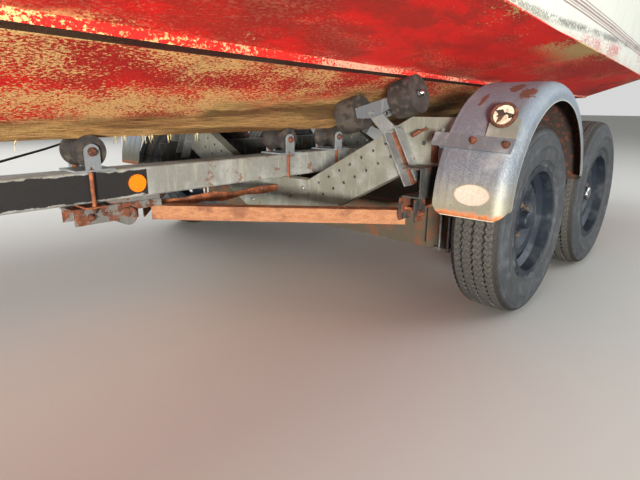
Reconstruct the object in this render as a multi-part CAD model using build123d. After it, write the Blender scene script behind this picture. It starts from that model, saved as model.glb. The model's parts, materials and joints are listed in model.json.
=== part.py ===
from build123d import *
import math
import os

# A 6.3 m speedboat standing on its galvanised tandem-axle roller trailer.
# Millimetres. +X points to the bow and the tow hitch, +Y to port, +Z up.
# Sizes are set out from the middle of the front axle, on the ground, and every piece
# is moved by FRAME_SHIFT_X when it is written, so that the origin is under the middle.

# Wheels and tyres
TYRE_R = 325
TYRE_W = 185
BEAD_R = 178
RIM_FLANGE_R = 195
RIM_HALF_W = 79
RIM_WALL = 5
WHEEL_Y = 985
WHEELBASE = 764
AXLE_X = (0, -WHEELBASE)
HAND_HOLES = 8
STUD_COUNT = 5
STUD_CIRCLE_R = 56
HUB_R = 40
DRUM_R = 112
STUB_R = 22
RUNNING_GAP = 0.3

# Axle beams, springs and side rails
AXLE_BEAM_X = 60
AXLE_BEAM_BOTTOM = 165
AXLE_BEAM_TOP = 322
AXLE_BEAM_Y = 700
BRACKET_Y = 780
RAIL_Y0 = 725
RAIL_Y1 = 795
RAIL_BOTTOM = 410
RAIL_TOP = 510
RAIL_WALL = 5
RAIL_FRONT = 320
RAIL_REAR = -1150
SPRING_W = 50
SPRING_LEAF = 8
SPRING_SPAN = 640

# Spine beam
SPINE_HALF_Y = 50
SPINE_BOTTOM = 400
SPINE_TOP = 500
SPINE_WALL = 5
SPINE_REAR = -1900
SPINE_FRONT = 4720

# Gull-shaped cross-members
CROSS_X = (206, -1010)
CROSS_DEPTH = 160
CROSS_FLANGE = 50
CROSS_WALL = 6
CROSS_LOW_Z = 320
CROSS_HIGH_Z = 590
CROSS_BEND_Y = 205
CROSS_SHOULDER_Y = 700
CROSS_END_Y = 865
HOLE_PITCH = 62
HOLE_ROWS = (33, 85)
HOLE_R = 6.5

# Rusty struts under the spine
STRUT_START = (850, 30)
STRUT_END = (293, 726.7)
STRUT_TOP = 360
U_BOLT_DROP = 14
STRUT_LEG = 50
STRUT_WALL = 6
CLAMP_X = 950

# Rollers
KEEL_ROLLER_X = (2050, 1050, 190, -140, -930, -1720)
KEEL_ROLLER_W = 110
KEEL_WAIST_R = 38
KEEL_END_R = 50
PIN_R = 10
WING_ROLLER_R = 65
WING_ROLLER_W = 85
WING_AHEAD = 9
WING_Y = (430, 665)
WING_POST_FOOT = (716, 446)
WING_POST_LENGTH = 200
WING_SHIFT = (0, 145)

# Fenders over the front wheels
FENDER_R = 395
FENDER_Z = 390
FENDER_Y0 = 880
FENDER_Y1 = 1102
FENDER_SKIRT = 60
FENDER_CORNER = 40
FENDER_SHEET = 3
FENDER_ARC = 174
FENDER_END_R = 42
BAR_ANGLE = 32.5
BAR_TILT = -3
BAR_HALF = 23
BAR_T = 5
BAR_Y = (835, 1088)
LAMP_LEAN = 25
LAMP_R = 36.5
LAMP_Y = 1036

# Tow end
JOCKEY_X = 4450
JOCKEY_Y = -120
JOCKEY_WHEEL_R = 105
JOCKEY_WHEEL_W = 60
JOCKEY_TRAIL = 55
JOCKEY_TUBE_R = 30
JOCKEY_WALL = 4
JOCKEY_CROWN_Z = 226
JOCKEY_CROWN_T = 16
BALL_SOCKET_R = 25.4
COUPLER_X = 4985
COUPLER_HEAD_R = 42
COUPLER_HEAD_Z = (432, 490)
SOCKET_DEPTH = 42

# Hull
HULL_SKIN = 14
TRANSOM_X = -2000
TRANSOM_T = 46
STRAKE_W = 55
# x, keel z, strake y, strake z, step height, chine y, chine z, sheer y, sheer z
HULL_TABLE = [
    (-2000, 600, 603, 768, 10, 974, 887, 1060, 1560),
    (-1000, 600, 603, 784, 12, 1036, 902, 1122, 1568),
    (0, 600, 603, 799, 18, 1056, 937, 1150, 1588),
    (1000, 600, 600, 814, 26, 1036, 1003, 1140, 1622),
    (1800, 606, 562, 850, 28, 962, 1088, 1084, 1660),
    (2600, 668, 446, 934, 24, 800, 1190, 942, 1708),
    (3300, 812, 290, 1062, 18, 560, 1296, 704, 1760),
    (3850, 1085, 136, 1240, 12, 292, 1410, 412, 1806),
    (4150, 1400, 40, 1462, 6, 100, 1566, 190, 1832),
    (4290, 1740, 8, 1748, 3, 22, 1778, 36, 1844),
]
HULL_STATIONS = 22
DECK_T = 12
DECK_CROWN = 95
SHEER_LEDGE = 10
EYE_R = 19
EYE_BAR = 6
BOW_EYE_Z = 1235
STERN_EYE_Y = 700
STERN_EYE_Z = 1200

# Cockpit
COCKPIT_X0 = -1350
COCKPIT_X1 = 1300
COCKPIT_HALF_Y = 780
SOLE_Z = 960
LINER_T = 15
WELL_HALF_Y = 500
WELL_Z = 1030
WELL_X0 = -1953.7
WELL_X1 = -1380
NOTCH_HALF_Y = 400
NOTCH_Z = 1130
BENCH_X = (-1330, -880)
BENCH_Z = 1280
SEAT_X = 250
SEAT_Y = 420
SEAT_Z = 1290
CUSHION_T = 90

# Windscreen: base corners on the deck and the common rake of every pane
SCREEN_PLAN = [(1640, 0), (1380, 700), (620, 965)]
SCREEN_RAKE = (-300, 330)
PANE_T = 6
FRAME_BAR = 26

# Outboard motor
TILT_BEHIND_TRANSOM = 62
STEER_BEHIND_TILT = 103
MOTOR_TILT = (TRANSOM_X - TILT_BEHIND_TRANSOM, 1190)
MOTOR_STEER_X = MOTOR_TILT[0] - STEER_BEHIND_TILT
MOTOR_SHAFT_Z = 445
PROP_BEHIND_STEER = 255
PROP_X = MOTOR_STEER_X - PROP_BEHIND_STEER
PROP_R = 165
COWL_REAR = MOTOR_STEER_X - 425
HELM = (850, -420, 1515)
HELM_RAKE = 25
HELM_R = 170

FRAME_SHIFT_X = -(COUPLER_X + COUPLER_HEAD_R + COWL_REAR) / 2


def block(x0, x1, y0, y1, z0, z1):
    """Box between two corners."""
    return Pos((x0 + x1) / 2, (y0 + y1) / 2, (z0 + z1) / 2) * Box(x1 - x0, abs(y1 - y0), z1 - z0)


def rod_y(x, z, r, y0, y1):
    """Round bar along Y."""
    return Pos(x, (y0 + y1) / 2, z) * Rot(90, 0, 0) * Cylinder(r, abs(y1 - y0))


def rod_z(x, y, r, z0, z1):
    """Round bar along Z."""
    return Pos(x, y, (z0 + z1) / 2) * Cylinder(r, z1 - z0)


def rod_x(y, z, r, x0, x1):
    """Round bar along X."""
    return Pos((x0 + x1) / 2, y, z) * Rot(0, 90, 0) * Cylinder(r, abs(x1 - x0))


def bar(start, end, r):
    """Round bar between two points."""
    way = Vector(*end) - Vector(*start)
    return Plane(origin=start, z_dir=way) * Pos(0, 0, way.length / 2) * Cylinder(r, way.length)


def plate_yz(points, x0, x1):
    """Flat plate with an outline in the Y-Z plane, from x0 to x1."""
    outline = Plane.YZ * make_face(Polyline(*points, close=True))
    return Pos(x0, 0, 0) * extrude(outline, x1 - x0, dir=(1, 0, 0))


def plate_xz(points, y0, y1):
    """Flat plate with an outline in the X-Z plane, from y0 to y1."""
    corners = [(x, 0, z) for x, z in points]
    face = make_face(Polyline(*corners, close=True))
    return Pos(0, y0, 0) * extrude(face, y1 - y0, dir=(0, 1, 0))


def turned_y(points, x, y, z):
    """Solid of revolution about a Y axis from (distance outward, radius) points."""
    corners = [(0, along, radius) for along, radius in points]
    face = make_face(Polyline(*corners, close=True))
    return Pos(x, y, z) * revolve(face, Axis((0, 0, 0), (0, 1, 0)), 360)


def starboard(shape):
    """The same piece on the other side."""
    return mirror(shape, Plane.XZ)


def both(shape):
    return [shape, starboard(shape)]


def write(name, *shapes):
    """Move the solids of one node into the final frame and write them."""
    solids = []
    for shape in shapes:
        solids.extend(shape.solids() if hasattr(shape, "solids") else ShapeList(shape).solids())
    group = Compound(children=[solid.moved(Location((FRAME_SHIFT_X, 0, 0))) for solid in solids])
    export_step(group if len(solids) > 1 else group.solids()[0], f"parts/{name}.step")


def smooth(table, column, x):
    """Value of one column at x, on a curve through the rows with matched slopes."""
    rows = sorted(table)
    last = len(rows) - 1
    i = max(k for k in range(last) if rows[k][0] <= x + 1e-9)
    slopes = []
    for k in (i, i + 1):
        lo = max(k - 1, 0)
        hi = min(k + 1, last)
        slopes.append((rows[hi][column] - rows[lo][column]) / (rows[hi][0] - rows[lo][0]))
    span = rows[i + 1][0] - rows[i][0]
    t = (x - rows[i][0]) / span
    h00 = (1 + 2 * t) * (1 - t) ** 2
    h10 = t * (1 - t) ** 2
    h01 = t * t * (3 - 2 * t)
    h11 = t * t * (t - 1)
    ends = h00 * rows[i][column] + h01 * rows[i + 1][column]
    return ends + span * (h10 * slopes[0] + h11 * slopes[1])


def keel_z(x):
    return smooth(HULL_TABLE, 1, x)


def bottom_z(x, y):
    """Height of the hull's outer bottom at x and y, outboard of the keel."""
    keel, sy, sz, step, cy, cz = (smooth(HULL_TABLE, c, x) for c in range(1, 7))
    if y < sy:
        return keel + (sz - keel) * y / sy
    if y < sy + STRAKE_W:
        return sz
    return sz + step + (cz - sz - step) * (y - sy - STRAKE_W) / (cy - sy - STRAKE_W)


def stations():
    """Places of the hull's sections, closer together towards the bow."""
    x0 = HULL_TABLE[0][0]
    length = HULL_TABLE[-1][0] - x0
    return [x0 + length * math.sin(0.5 * math.pi * k / HULL_STATIONS) for k in range(HULL_STATIONS + 1)]


# Hull, deck and what stands on them

def hull_section(x, inset=0.0, top=None):
    """Closed section of the hull; inset moves every wall inward."""
    keel, sy, sz, step, cy, cz, hy, hz = (smooth(HULL_TABLE, c, x) for c in range(1, 9))
    strake = STRAKE_W * min(1.0, sy / 300)
    lip = inset * 0.6
    half = [
        (0, keel + inset * 1.3),
        (max(sy - lip * 0.3, 3), sz + inset * 1.2),
        (max(sy + strake - lip, 4), sz + inset * 1.2 + step * 0.2),
        (max(sy + strake + 1.5 - lip, 5), sz + step + inset),
        (max(cy - inset, 7), cz + inset * 0.5),
        (max(hy - inset, 9), hz if top is None else top),
        (0, hz if top is None else top),
    ]
    mirrored = [(-y, z) for y, z in half[-2:0:-1]]
    return Plane.YZ.offset(x) * make_face(Polyline(*(half + mirrored), close=True))


def hull_solid():
    outer = loft([hull_section(x) for x in stations()], ruled=True)
    inner_x = [x for x in stations() if TRANSOM_X + TRANSOM_T < x < HULL_TABLE[-1][0] - 60]
    inner_x = [TRANSOM_X + TRANSOM_T] + inner_x
    inner = loft([hull_section(x, HULL_SKIN, smooth(HULL_TABLE, 8, x) + 60) for x in inner_x], ruled=True)
    notch = block(-2100, -1900, -NOTCH_HALF_Y, NOTCH_HALF_Y, NOTCH_Z, 1700)
    return outer - inner - notch


def deck_height(x):
    """Crown of the deck at the centreline, fading out over the cockpit and at the bow."""
    bow = HULL_TABLE[-1][0]
    rise = min(1.0, max(0.0, (bow - x) / 1900))
    return 8 + (DECK_CROWN - 8) * math.sin(0.5 * math.pi * rise) * min(1.0, max(0.25, (x + 600) / 2000))


def deck_section(x, thickness):
    hy = smooth(HULL_TABLE, 7, x)
    hz = smooth(HULL_TABLE, 8, x)
    crown = deck_height(x)
    share = ((0, 1.0), (0.35, 0.88), (0.7, 0.52), (1.0, 0.0))
    top = [(hy * a, hz + DECK_T + crown * b) for a, b in share]
    low = [(y, z - thickness) for y, z in reversed(top)]
    half = top[1:] + low[:-1]
    mirrored = [(-y, z) for y, z in reversed(half)]
    ring = [top[0]] + half + [low[-1]] + mirrored
    return Plane.YZ.offset(x) * make_face(Polyline(*ring, close=True))


def cockpit_plan(grow):
    """Upright prism over the cockpit opening, grown on every side."""
    x0, x1 = COCKPIT_X0 - grow, COCKPIT_X1 + grow
    y = COCKPIT_HALF_Y + grow
    prism = block(x0, x1, -y, y, 500, 2500)
    return fillet(prism.edges().filter_by(Axis.Z), 140 + grow)


def well_plan(grow):
    return block(TRANSOM_X - 50, WELL_X1 + grow, -WELL_HALF_Y - grow, WELL_HALF_Y + grow, 500, 2500)


def deck_solid():
    skin = loft([deck_section(x, DECK_T) for x in stations()], ruled=True)
    return skin - cockpit_plan(0) - well_plan(0)


def below_deck(rise=0.0):
    """Everything under the deck's top, for trimming what stands on it."""
    return Pos(0, 0, rise) * loft([deck_section(x, 500) for x in stations()], ruled=True)


def cockpit_liner():
    """Tub with a sole, walls up to the deck's underside, and the motor's splash well."""
    tub = cockpit_plan(LINER_T) & block(-1400, 1400, -1000, 1000, SOLE_Z - LINER_T, 1900)
    tub = tub - (cockpit_plan(0) & block(-1500, 1500, -1000, 1000, SOLE_Z, 2000))
    well = block(WELL_X0, WELL_X1, -WELL_HALF_Y - LINER_T, WELL_HALF_Y + LINER_T, WELL_Z - LINER_T, 1900)
    well = well - block(WELL_X0 - 5, WELL_X1 - LINER_T, -WELL_HALF_Y, WELL_HALF_Y, WELL_Z, 2000)
    bench = block(BENCH_X[0] - 18, BENCH_X[1], -COCKPIT_HALF_Y + 60, COCKPIT_HALF_Y - 60, SOLE_Z, BENCH_Z)
    bench = bench - block(BENCH_X[0], BENCH_X[1] - 20, -680, 680, SOLE_Z + 1, BENCH_Z - 20)
    under = loft([deck_section(x, DECK_T + 700) for x in stations()], ruled=True)
    under = Pos(0, 0, -DECK_T - 0.3) * under
    return (tub & under) + (well & under), bench


def console(side):
    """Dash moulding below the windscreen, one on each side of the walkway."""
    outline = [(1285, SOLE_Z), (1285, 1590), (1120, 1600), (960, 1560), (900, 1420)]
    outline += [(1060, 1300), (1100, SOLE_Z)]
    y0, y1 = sorted((side * 170, side * (COCKPIT_HALF_Y - 5)))
    body = plate_xz(outline, y0, y1) & cockpit_plan(-0.5)
    if side > 0:
        return body
    body = body + on_helm(Pos(0, 0, -85) * Cylinder(44, 90))
    return body - on_helm(Pos(0, 0, -90) * Cylinder(16 + RUNNING_GAP, 130))


def seat_shell(side):
    """Pedestal and moulded bucket of one seat."""
    y = side * SEAT_Y
    post = rod_z(SEAT_X, y, 45, SOLE_Z + 12, SEAT_Z - 40)
    foot = rod_z(SEAT_X, y, 130, SOLE_Z, SOLE_Z + 12)
    pan = block(SEAT_X - 230, SEAT_X + 250, y - 240, y + 240, SEAT_Z - 40, SEAT_Z)
    back = plate_xz([(20, 1270), (-20, 1790), (-45, 1790), (-10, 1250)], y - 235, y + 235)
    return post + foot + pan + back


def seat_cushions(side):
    y = side * SEAT_Y
    base = block(SEAT_X - 165, SEAT_X + 245, y - 225, y + 225, SEAT_Z + 0.3, SEAT_Z + CUSHION_T)
    back = plate_xz([(105, SEAT_Z + 105), (68, 1800), (-20.5, 1800), (10.7, SEAT_Z + 105)], y - 220, y + 220)
    return [base, back]


def bench_cushions():
    base = block(BENCH_X[0] + 90, BENCH_X[1] - 5, -700, 700, BENCH_Z + 0.3, BENCH_Z + CUSHION_T)
    back = block(BENCH_X[0] + 0.5, BENCH_X[0] + 89.7, -700, 700, BENCH_Z + 5, 1540)
    return [base, back]


def screen_corner(k):
    """Base point of the windscreen on the deck, mirrored by the sign of k."""
    x, y = SCREEN_PLAN[abs(k)]
    hy = smooth(HULL_TABLE, 7, x)
    a = y / hy
    share = [(0, 1.0), (0.35, 0.88), (0.7, 0.52), (1.0, 0.0)]
    (a0, b0), (a1, b1) = next(pair for pair in zip(share, share[1:]) if a <= pair[1][0])
    b = b0 + (b1 - b0) * (a - a0) / (a1 - a0)
    z = smooth(HULL_TABLE, 8, x) + DECK_T + deck_height(x) * b
    return Vector(x, y if k > 0 else -y, z + 14)


def screen_panel(a, b, lift, reach, thick):
    """Parallelogram plate on a base edge, leaning back by the common rake."""
    rake = Vector(SCREEN_RAKE[0], 0, SCREEN_RAKE[1])
    p0 = a + rake * lift
    p1 = b + rake * lift
    p2 = b + rake * reach
    p3 = a + rake * reach
    face = make_face(Polyline(*[tuple(p) for p in (p0, p1, p2, p3)], close=True))
    normal = (b - a).cross(rake).normalized()
    return extrude(face, thick / 2, dir=tuple(normal), both=True)


def windscreen():
    """Frame and panes of the wrap-round screen; the sills are scribed to the deck."""
    corners = [screen_corner(k) for k in (-2, -1, 0, 1, 2)]
    below = below_deck(0.3)
    frame = None
    panes = []
    for a, b in zip(corners, corners[1:]):
        along = (b - a).normalized() * FRAME_BAR
        opening = screen_panel(a + along, b - along, 0.14, 0.93, FRAME_BAR)
        panes.append(screen_panel(a + along, b - along, 0.14, 0.93, PANE_T))
        upper = screen_panel(a, b, 0.1, 1.0, FRAME_BAR * 0.7) - opening
        sill = screen_panel(a, b, -0.12, 0.1, FRAME_BAR * 0.7) - below
        frame = upper + sill if frame is None else frame + upper + sill
    return frame, panes


def rub_rail():
    """Rubber strip round the sheer, outside the hull-to-deck joint."""
    strips = []
    for side in (1, -1):
        sections = []
        for x in stations()[:-1]:
            hy = smooth(HULL_TABLE, 7, x)
            hz = smooth(HULL_TABLE, 8, x)
            ring = [(hy + 0.3, hz - 22), (hy + 22, hz - 14), (hy + 22, hz + 6), (hy + 0.3, hz + DECK_T)]
            ring = [(side * y, z) for y, z in ring]
            sections.append(Plane.YZ.offset(x) * make_face(Polyline(*ring, close=True)))
        strips.append(loft(sections, ruled=True))
    return strips


def cleat(x, side):
    hy = smooth(HULL_TABLE, 7, x)
    z = smooth(HULL_TABLE, 8, x) + DECK_T
    y = side * (hy - 70)
    crown = deck_height(x) * 0.52 * (70 / (0.3 * hy))
    top = z + crown
    feet = rod_z(x - 30, y, 9, top - 20, top + 34) + rod_z(x + 30, y, 9, top - 20, top + 34)
    horn = rod_x(y, top + 36, 8, x - 85, x + 85)
    return (feet + horn) - below_deck(0.1)


def bow_eye():
    """Forged eye on the stem, its foot cut to the stem's rake."""
    z = BOW_EYE_Z
    x = stem_x(z)
    low, high = stem_x(z - 40), stem_x(z + 40)
    foot = [(low + 1, z - 40), (x + 1, z), (high + 1, z + 40), (high + 8, z + 40)]
    foot += [(x + 24, z + 8), (x + 24, z - 8), (low + 8, z - 40)]
    ring_x = x + EYE_R + 16
    body = plate_xz(foot, -8, 8) + rod_y(ring_x, z, EYE_R + EYE_BAR, -EYE_BAR, EYE_BAR)
    return body - rod_y(ring_x, z, EYE_R - EYE_BAR, -20, 20)


def stern_eye(side):
    """Forged eye on a small plate on the transom."""
    x, z = TRANSOM_X - 0.3, STERN_EYE_Z
    y = side * STERN_EYE_Y
    plate = block(x - 5, x, y - 24, y + 24, z - 24, z + 24)
    ring_x = x - EYE_R - EYE_BAR - 4
    body = plate + rod_y(ring_x, z, EYE_R + EYE_BAR, y - EYE_BAR, y + EYE_BAR)
    return body - rod_y(ring_x, z, EYE_R - EYE_BAR, y - 20, y + 20)


def on_helm(shape):
    """Place a shape, made about +Z, on the raked axis of the helm."""
    return Pos(*HELM) * Rot(0, -90 + HELM_RAKE, 0) * shape


def helm_wheel():
    """Three-spoked wheel with the shaft that turns in the console's collar."""
    rim = Torus(HELM_R, 12)
    hub = Pos(0, 0, -12) * Cylinder(34, 30)
    spokes = [Rot(0, 0, 90 + 120 * k) * Pos(HELM_R / 2, 0, -6) * Box(HELM_R, 26, 8) for k in range(3)]
    wheel = rim + hub
    for spoke in spokes:
        wheel = wheel + (spoke - Cylinder(20, 40))
    shaft = Pos(0, 0, -82) * Cylinder(16, 120)
    return on_helm(wheel + shaft)


def motor_clamp():
    """Pair of transom brackets hooked over the transom, with the tilt tube and clamp screws."""
    tx, tz = MOTOR_TILT
    rear = TRANSOM_X - 0.3
    front = TRANSOM_X + TRANSOM_T + 4
    outline = [(rear, 820), (rear, NOTCH_Z + 0.3), (front, NOTCH_Z + 0.3), (front, 1055), (front + 16, 1050)]
    outline += [(front + 16, NOTCH_Z + 25), (tx + 42, tz + 32), (tx - 30, tz + 32), (tx - 34, tz - 20)]
    outline += [(rear - 40, 900), (rear - 30, 820)]
    plates = both(plate_xz(outline, 115, 140))
    tube = rod_y(tx, tz, 17, -139, 139)
    solid = plates[0] + plates[1] + tube
    for y in (127.5, -127.5):
        solid = solid + rod_x(y, 1078, 9, front - 3.7, front + 70) + rod_x(y, 1078, 20, front - 3.7, front)
        solid = solid + rod_z(front + 64, y, 6, 1043, 1113)
    return solid


def swivel_bracket():
    """Tilting casting with the upright steering bore."""
    tx, tz = MOTOR_TILT
    barrel = rod_z(MOTOR_STEER_X, 0, 42, 850, 1240)
    lugs = rod_y(tx, tz, 30, -108, 108)
    sx = MOTOR_STEER_X
    web = plate_xz([(tx - 5, tz + 24), (sx, 1235), (sx, 860), (sx + 55, 880), (tx - 20, tz - 26)], -60, 60)
    body = barrel + lugs + web
    body = body - rod_y(tx, tz, 17 + RUNNING_GAP, -120, 120)
    return body - rod_z(MOTOR_STEER_X, 0, 20 + RUNNING_GAP, 840, 1250)


def foil(x0, x1, half, z):
    """Streamlined section, round in front and pointed behind."""
    length = x1 - x0
    nose = x1 - half
    mid = x0 + length * 0.45
    pts = [(x0, 2), (mid, half * 0.95), (nose, half)]
    up = Polyline(*pts)
    cap = ThreePointArc((nose, half), (x1, 0), (nose, -half))
    down = Polyline(*[(x, -y) for x, y in reversed(pts)])
    tail = Line((x0, -2), (x0, 2))
    return Plane.XY.offset(z) * make_face([up, cap, down, tail])


def motor_leg():
    """Steering shaft, midsection, ventilation plate, gearcase and skeg in one."""
    sx = MOTOR_STEER_X
    shaft = rod_z(sx, 0, 20, 800, 1290)
    top_mount = block(sx - 190, sx + 45, -75, 75, 1250, 1300)
    low_mount = block(sx - 120, sx + 30, -50, 50, 800, 842)
    upper = [foil(sx - 315, sx - 50, 82, 1250), foil(sx - 290, sx - 50, 62, 850)]
    upper = upper + [foil(sx - 275, sx - 75, 44, 640)]
    mid = loft(upper, ruled=True)
    low = loft([foil(sx - 210, sx - 75, 40, 636), foil(sx - 205, sx - 85, 30, 480)], ruled=True)
    plate = extrude(foil(sx - 395, sx - 50, 110, 632), 10)
    torpedo = rod_x(0, MOTOR_SHAFT_Z, 46, PROP_X + 38, sx - 55)
    nose = Pos(sx - 55, 0, MOTOR_SHAFT_Z) * scale(Sphere(46), (1.5, 1, 1))
    skeg = loft([foil(sx - 207, sx - 75, 10, 440), foil(sx - 210, sx - 135, 6, 225)], ruled=True)
    arm = plate_xz([(sx + 40, 1262), (sx + 40, 1282), (-2010, 1290), (-2010, 1275)], -18, 18)
    leg = shaft + top_mount + low_mount + mid + low + plate + torpedo + nose + skeg + arm
    return leg - rod_x(0, MOTOR_SHAFT_Z, 14 + RUNNING_GAP, PROP_X - 80, PROP_X + 90)


def motor_cowl():
    """Engine cover: lofted rounded boxes, closed."""
    sx = MOTOR_STEER_X
    rows = [
        (1300.3, COWL_REAR + 90, sx + 40, 110, 60),
        (1370, COWL_REAR + 5, sx + 80, 180, 90),
        (1560, COWL_REAR, sx + 85, 188, 95),
        (1760, COWL_REAR + 25, sx + 55, 170, 95),
        (1830, COWL_REAR + 90, sx - 15, 110, 70),
    ]
    sections = []
    for z, x0, x1, half, radius in rows:
        plan = RectangleRounded(x1 - x0, 2 * half, radius)
        sections.append(Plane.XY.offset(z) * Pos((x0 + x1) / 2, 0) * plan)
    return loft(sections, ruled=True)


def propeller():
    """Three raked blades on a tapered hub, with the shaft that runs in the gearcase."""
    hub = rod_x(0, MOTOR_SHAFT_Z, 44, PROP_X - 62, PROP_X + 30)
    shaft = rod_x(0, MOTOR_SHAFT_Z, 14, PROP_X - 60, PROP_X + 85)
    prop = hub + shaft
    for k in range(3):
        sections = []
        for radius, chord, pitch in ((34, 74, 62), (85, 112, 42), (130, 112, 30), (PROP_R, 56, 25)):
            plane = Plane(origin=(0, 0, radius), x_dir=(1, 0, 0), z_dir=(0, 0, 1))
            section = plane * Rot(0, 0, 90 - pitch) * RectangleRounded(chord, 7, 3)
            sections.append(section)
        blade = loft(sections, ruled=True)
        prop = prop + Pos(PROP_X - 18, 0, MOTOR_SHAFT_Z) * Rot(120 * k, 0, 0) * blade
    return prop


# Wheels

def tyre(x, side):
    half = TYRE_W / 2
    shoulder = 28
    y = WHEEL_Y
    tread = TYRE_R
    seat = RIM_HALF_W - RIM_WALL - 0.3
    bead = BEAD_R + 0.3
    edge = RIM_FLANGE_R + 3
    profile = [
        Line((-seat + 18, bead), (-seat, bead)),
        Line((-seat, bead), (-seat, edge)),
        ThreePointArc((-seat, edge), (-half, BEAD_R + 78), (-half + 12, tread - shoulder)),
        ThreePointArc((-half + 12, tread - shoulder), (-half + 18, tread - 9), (-half + 34, tread - 4)),
        ThreePointArc((-half + 34, tread - 4), (0, tread), (half - 34, tread - 4)),
        ThreePointArc((half - 34, tread - 4), (half - 18, tread - 9), (half - 12, tread - shoulder)),
        ThreePointArc((half - 12, tread - shoulder), (half, BEAD_R + 78), (seat, edge)),
        Line((seat, edge), (seat, bead)),
        Line((seat, bead), (seat - 18, bead)),
        ThreePointArc((seat - 18, bead), (0, tread - 22), (-seat + 18, bead)),
    ]
    face = Plane.YZ * make_face(profile)
    ring = Pos(x, y, TYRE_R) * revolve(face, Axis((0, 0, 0), (0, 1, 0)), 360)
    return ring if side > 0 else starboard(ring)


def rim(x, side):
    """Pressed steel rim with its dished disc, hub and brake drum."""
    w = RIM_HALF_W
    t = RIM_WALL
    b = BEAD_R
    barrel = [
        (-w, RIM_FLANGE_R), (-w, b - t), (-w + 34, b - t), (-w + 46, b - 26), (w - 52, b - 26),
        (w - 36, b - t),
        (w, b - t), (w, RIM_FLANGE_R), (w - t, RIM_FLANGE_R), (w - t, b), (w - 38, b),
        (w - 54, b - 26 + t), (-w + 48, b - 26 + t), (-w + 36, b), (-w + t, b), (-w + t, RIM_FLANGE_R),
    ]
    ring = turned_y(barrel, x, WHEEL_Y, TYRE_R)
    disc = [
        (10, 20), (10, 78), (34, 100), (38, 122), (26, 140), (6, b - 25),
        (-1, b - 25), (19, 138), (30, 122), (27, 103), (3, 82), (3, 20),
    ]
    dish = turned_y(disc, x, WHEEL_Y, TYRE_R)
    for k in range(HAND_HOLES):
        angle = 2 * math.pi * k / HAND_HOLES
        hx = x + 131 * math.cos(angle)
        hz = TYRE_R + 131 * math.sin(angle)
        dish = dish - rod_y(hx, hz, 13, WHEEL_Y - 60, WHEEL_Y + 60)
    hub = rod_y(x, TYRE_R, HUB_R, WHEEL_Y - 60, WHEEL_Y + 32)
    drum = rod_y(x, TYRE_R, DRUM_R, WHEEL_Y - 112, WHEEL_Y - 40)
    face = rod_y(x, TYRE_R, 78, WHEEL_Y - 41, WHEEL_Y + 4)
    wheel = ring + dish + hub + drum + face
    for k in range(STUD_COUNT):
        angle = 2 * math.pi * k / STUD_COUNT
        sx = x + STUD_CIRCLE_R * math.cos(angle)
        sz = TYRE_R + STUD_CIRCLE_R * math.sin(angle)
        wheel = wheel + rod_y(sx, sz, 9, WHEEL_Y + 5, WHEEL_Y + 24)
    wheel = wheel - rod_y(x, TYRE_R, STUB_R + RUNNING_GAP, WHEEL_Y - 120, WHEEL_Y + 6)
    return wheel if side > 0 else starboard(wheel)


# Running gear of the trailer

def axle(x):
    """Dropped axle beam with its end brackets, brake plates and stub axles."""
    half = AXLE_BEAM_X / 2
    beam = block(x - half, x + half, -AXLE_BEAM_Y, AXLE_BEAM_Y, AXLE_BEAM_BOTTOM, AXLE_BEAM_TOP)
    y = AXLE_BEAM_Y + 1
    hollow = block(x - half - 1, x + half - 6, -y, y, AXLE_BEAM_BOTTOM + 6, AXLE_BEAM_TOP - 6)
    solid = beam - hollow
    for side in (1, -1):
        bracket = block(x - 55, x + 55, AXLE_BEAM_Y - 20, BRACKET_Y, AXLE_BEAM_BOTTOM + 20, TYRE_R + 35)
        tube = rod_y(x, TYRE_R, 32, BRACKET_Y - 1, WHEEL_Y - 122)
        plate = rod_y(x, TYRE_R, DRUM_R - 2, WHEEL_Y - 125, WHEEL_Y - 118)
        stub = rod_y(x, TYRE_R, STUB_R, WHEEL_Y - 123, WHEEL_Y - 2)
        end = bracket + tube + plate + stub
        solid = solid + (end if side > 0 else starboard(end))
    return solid


def leaf_spring(x):
    """Three leaves with eyes, clamped on the axle bracket."""
    y0 = (RAIL_Y0 + RAIL_Y1) / 2 - SPRING_W / 2
    y1 = y0 + SPRING_W
    seat = TYRE_R + 35.3
    stack = None
    for k, share in enumerate((0.5, 0.72, 1.0)):
        half = SPRING_SPAN / 2 * share - 8
        low = seat + k * SPRING_LEAF
        sag = 26 * share * share
        arc_low = ThreePointArc((x - half, 0, low - sag + 18), (x, 0, low), (x + half, 0, low - sag + 18))
        high = low + SPRING_LEAF
        ends = [(x + side * half, 0, high - sag + 18) for side in (1, -1)]
        arc_high = ThreePointArc(ends[0], (x, 0, high), ends[1])
        ends = [Line(arc_low @ 1, arc_high @ 0), Line(arc_high @ 1, arc_low @ 0)]
        leaf = extrude(make_face([arc_low, ends[0], arc_high, ends[1]]), SPRING_W, dir=(0, 1, 0))
        stack = leaf if stack is None else stack + leaf
    clamp = block(x - 40, x + 40, 0, SPRING_W, seat + 6, seat + 3 * SPRING_LEAF + 12)
    return Pos(0, y0, 0) * (stack + clamp)


def side_rail():
    """Channel along the inside of the wheels, open towards the middle."""
    rail = block(RAIL_REAR, RAIL_FRONT, RAIL_Y0, RAIL_Y1, RAIL_BOTTOM, RAIL_TOP)
    low, high = RAIL_BOTTOM + RAIL_WALL, RAIL_TOP - RAIL_WALL
    inside = block(RAIL_REAR - 1, RAIL_FRONT + 1, RAIL_Y0 - 1, RAIL_Y1 - RAIL_WALL, low, high)
    return rail - inside


def spring_hangers():
    """Cheek plates under the rails that hold the spring eyes."""
    mid = (RAIL_Y0 + RAIL_Y1) / 2
    pieces = []
    for x in (330 - 20, -WHEELBASE / 2, -WHEELBASE - 330 + 20):
        for y in (mid - SPRING_W / 2 - 6.3, mid + SPRING_W / 2 + 0.3):
            pieces.append(block(x - 32, x + 32, y, y + 6, 335, RAIL_BOTTOM))
    return pieces


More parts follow.
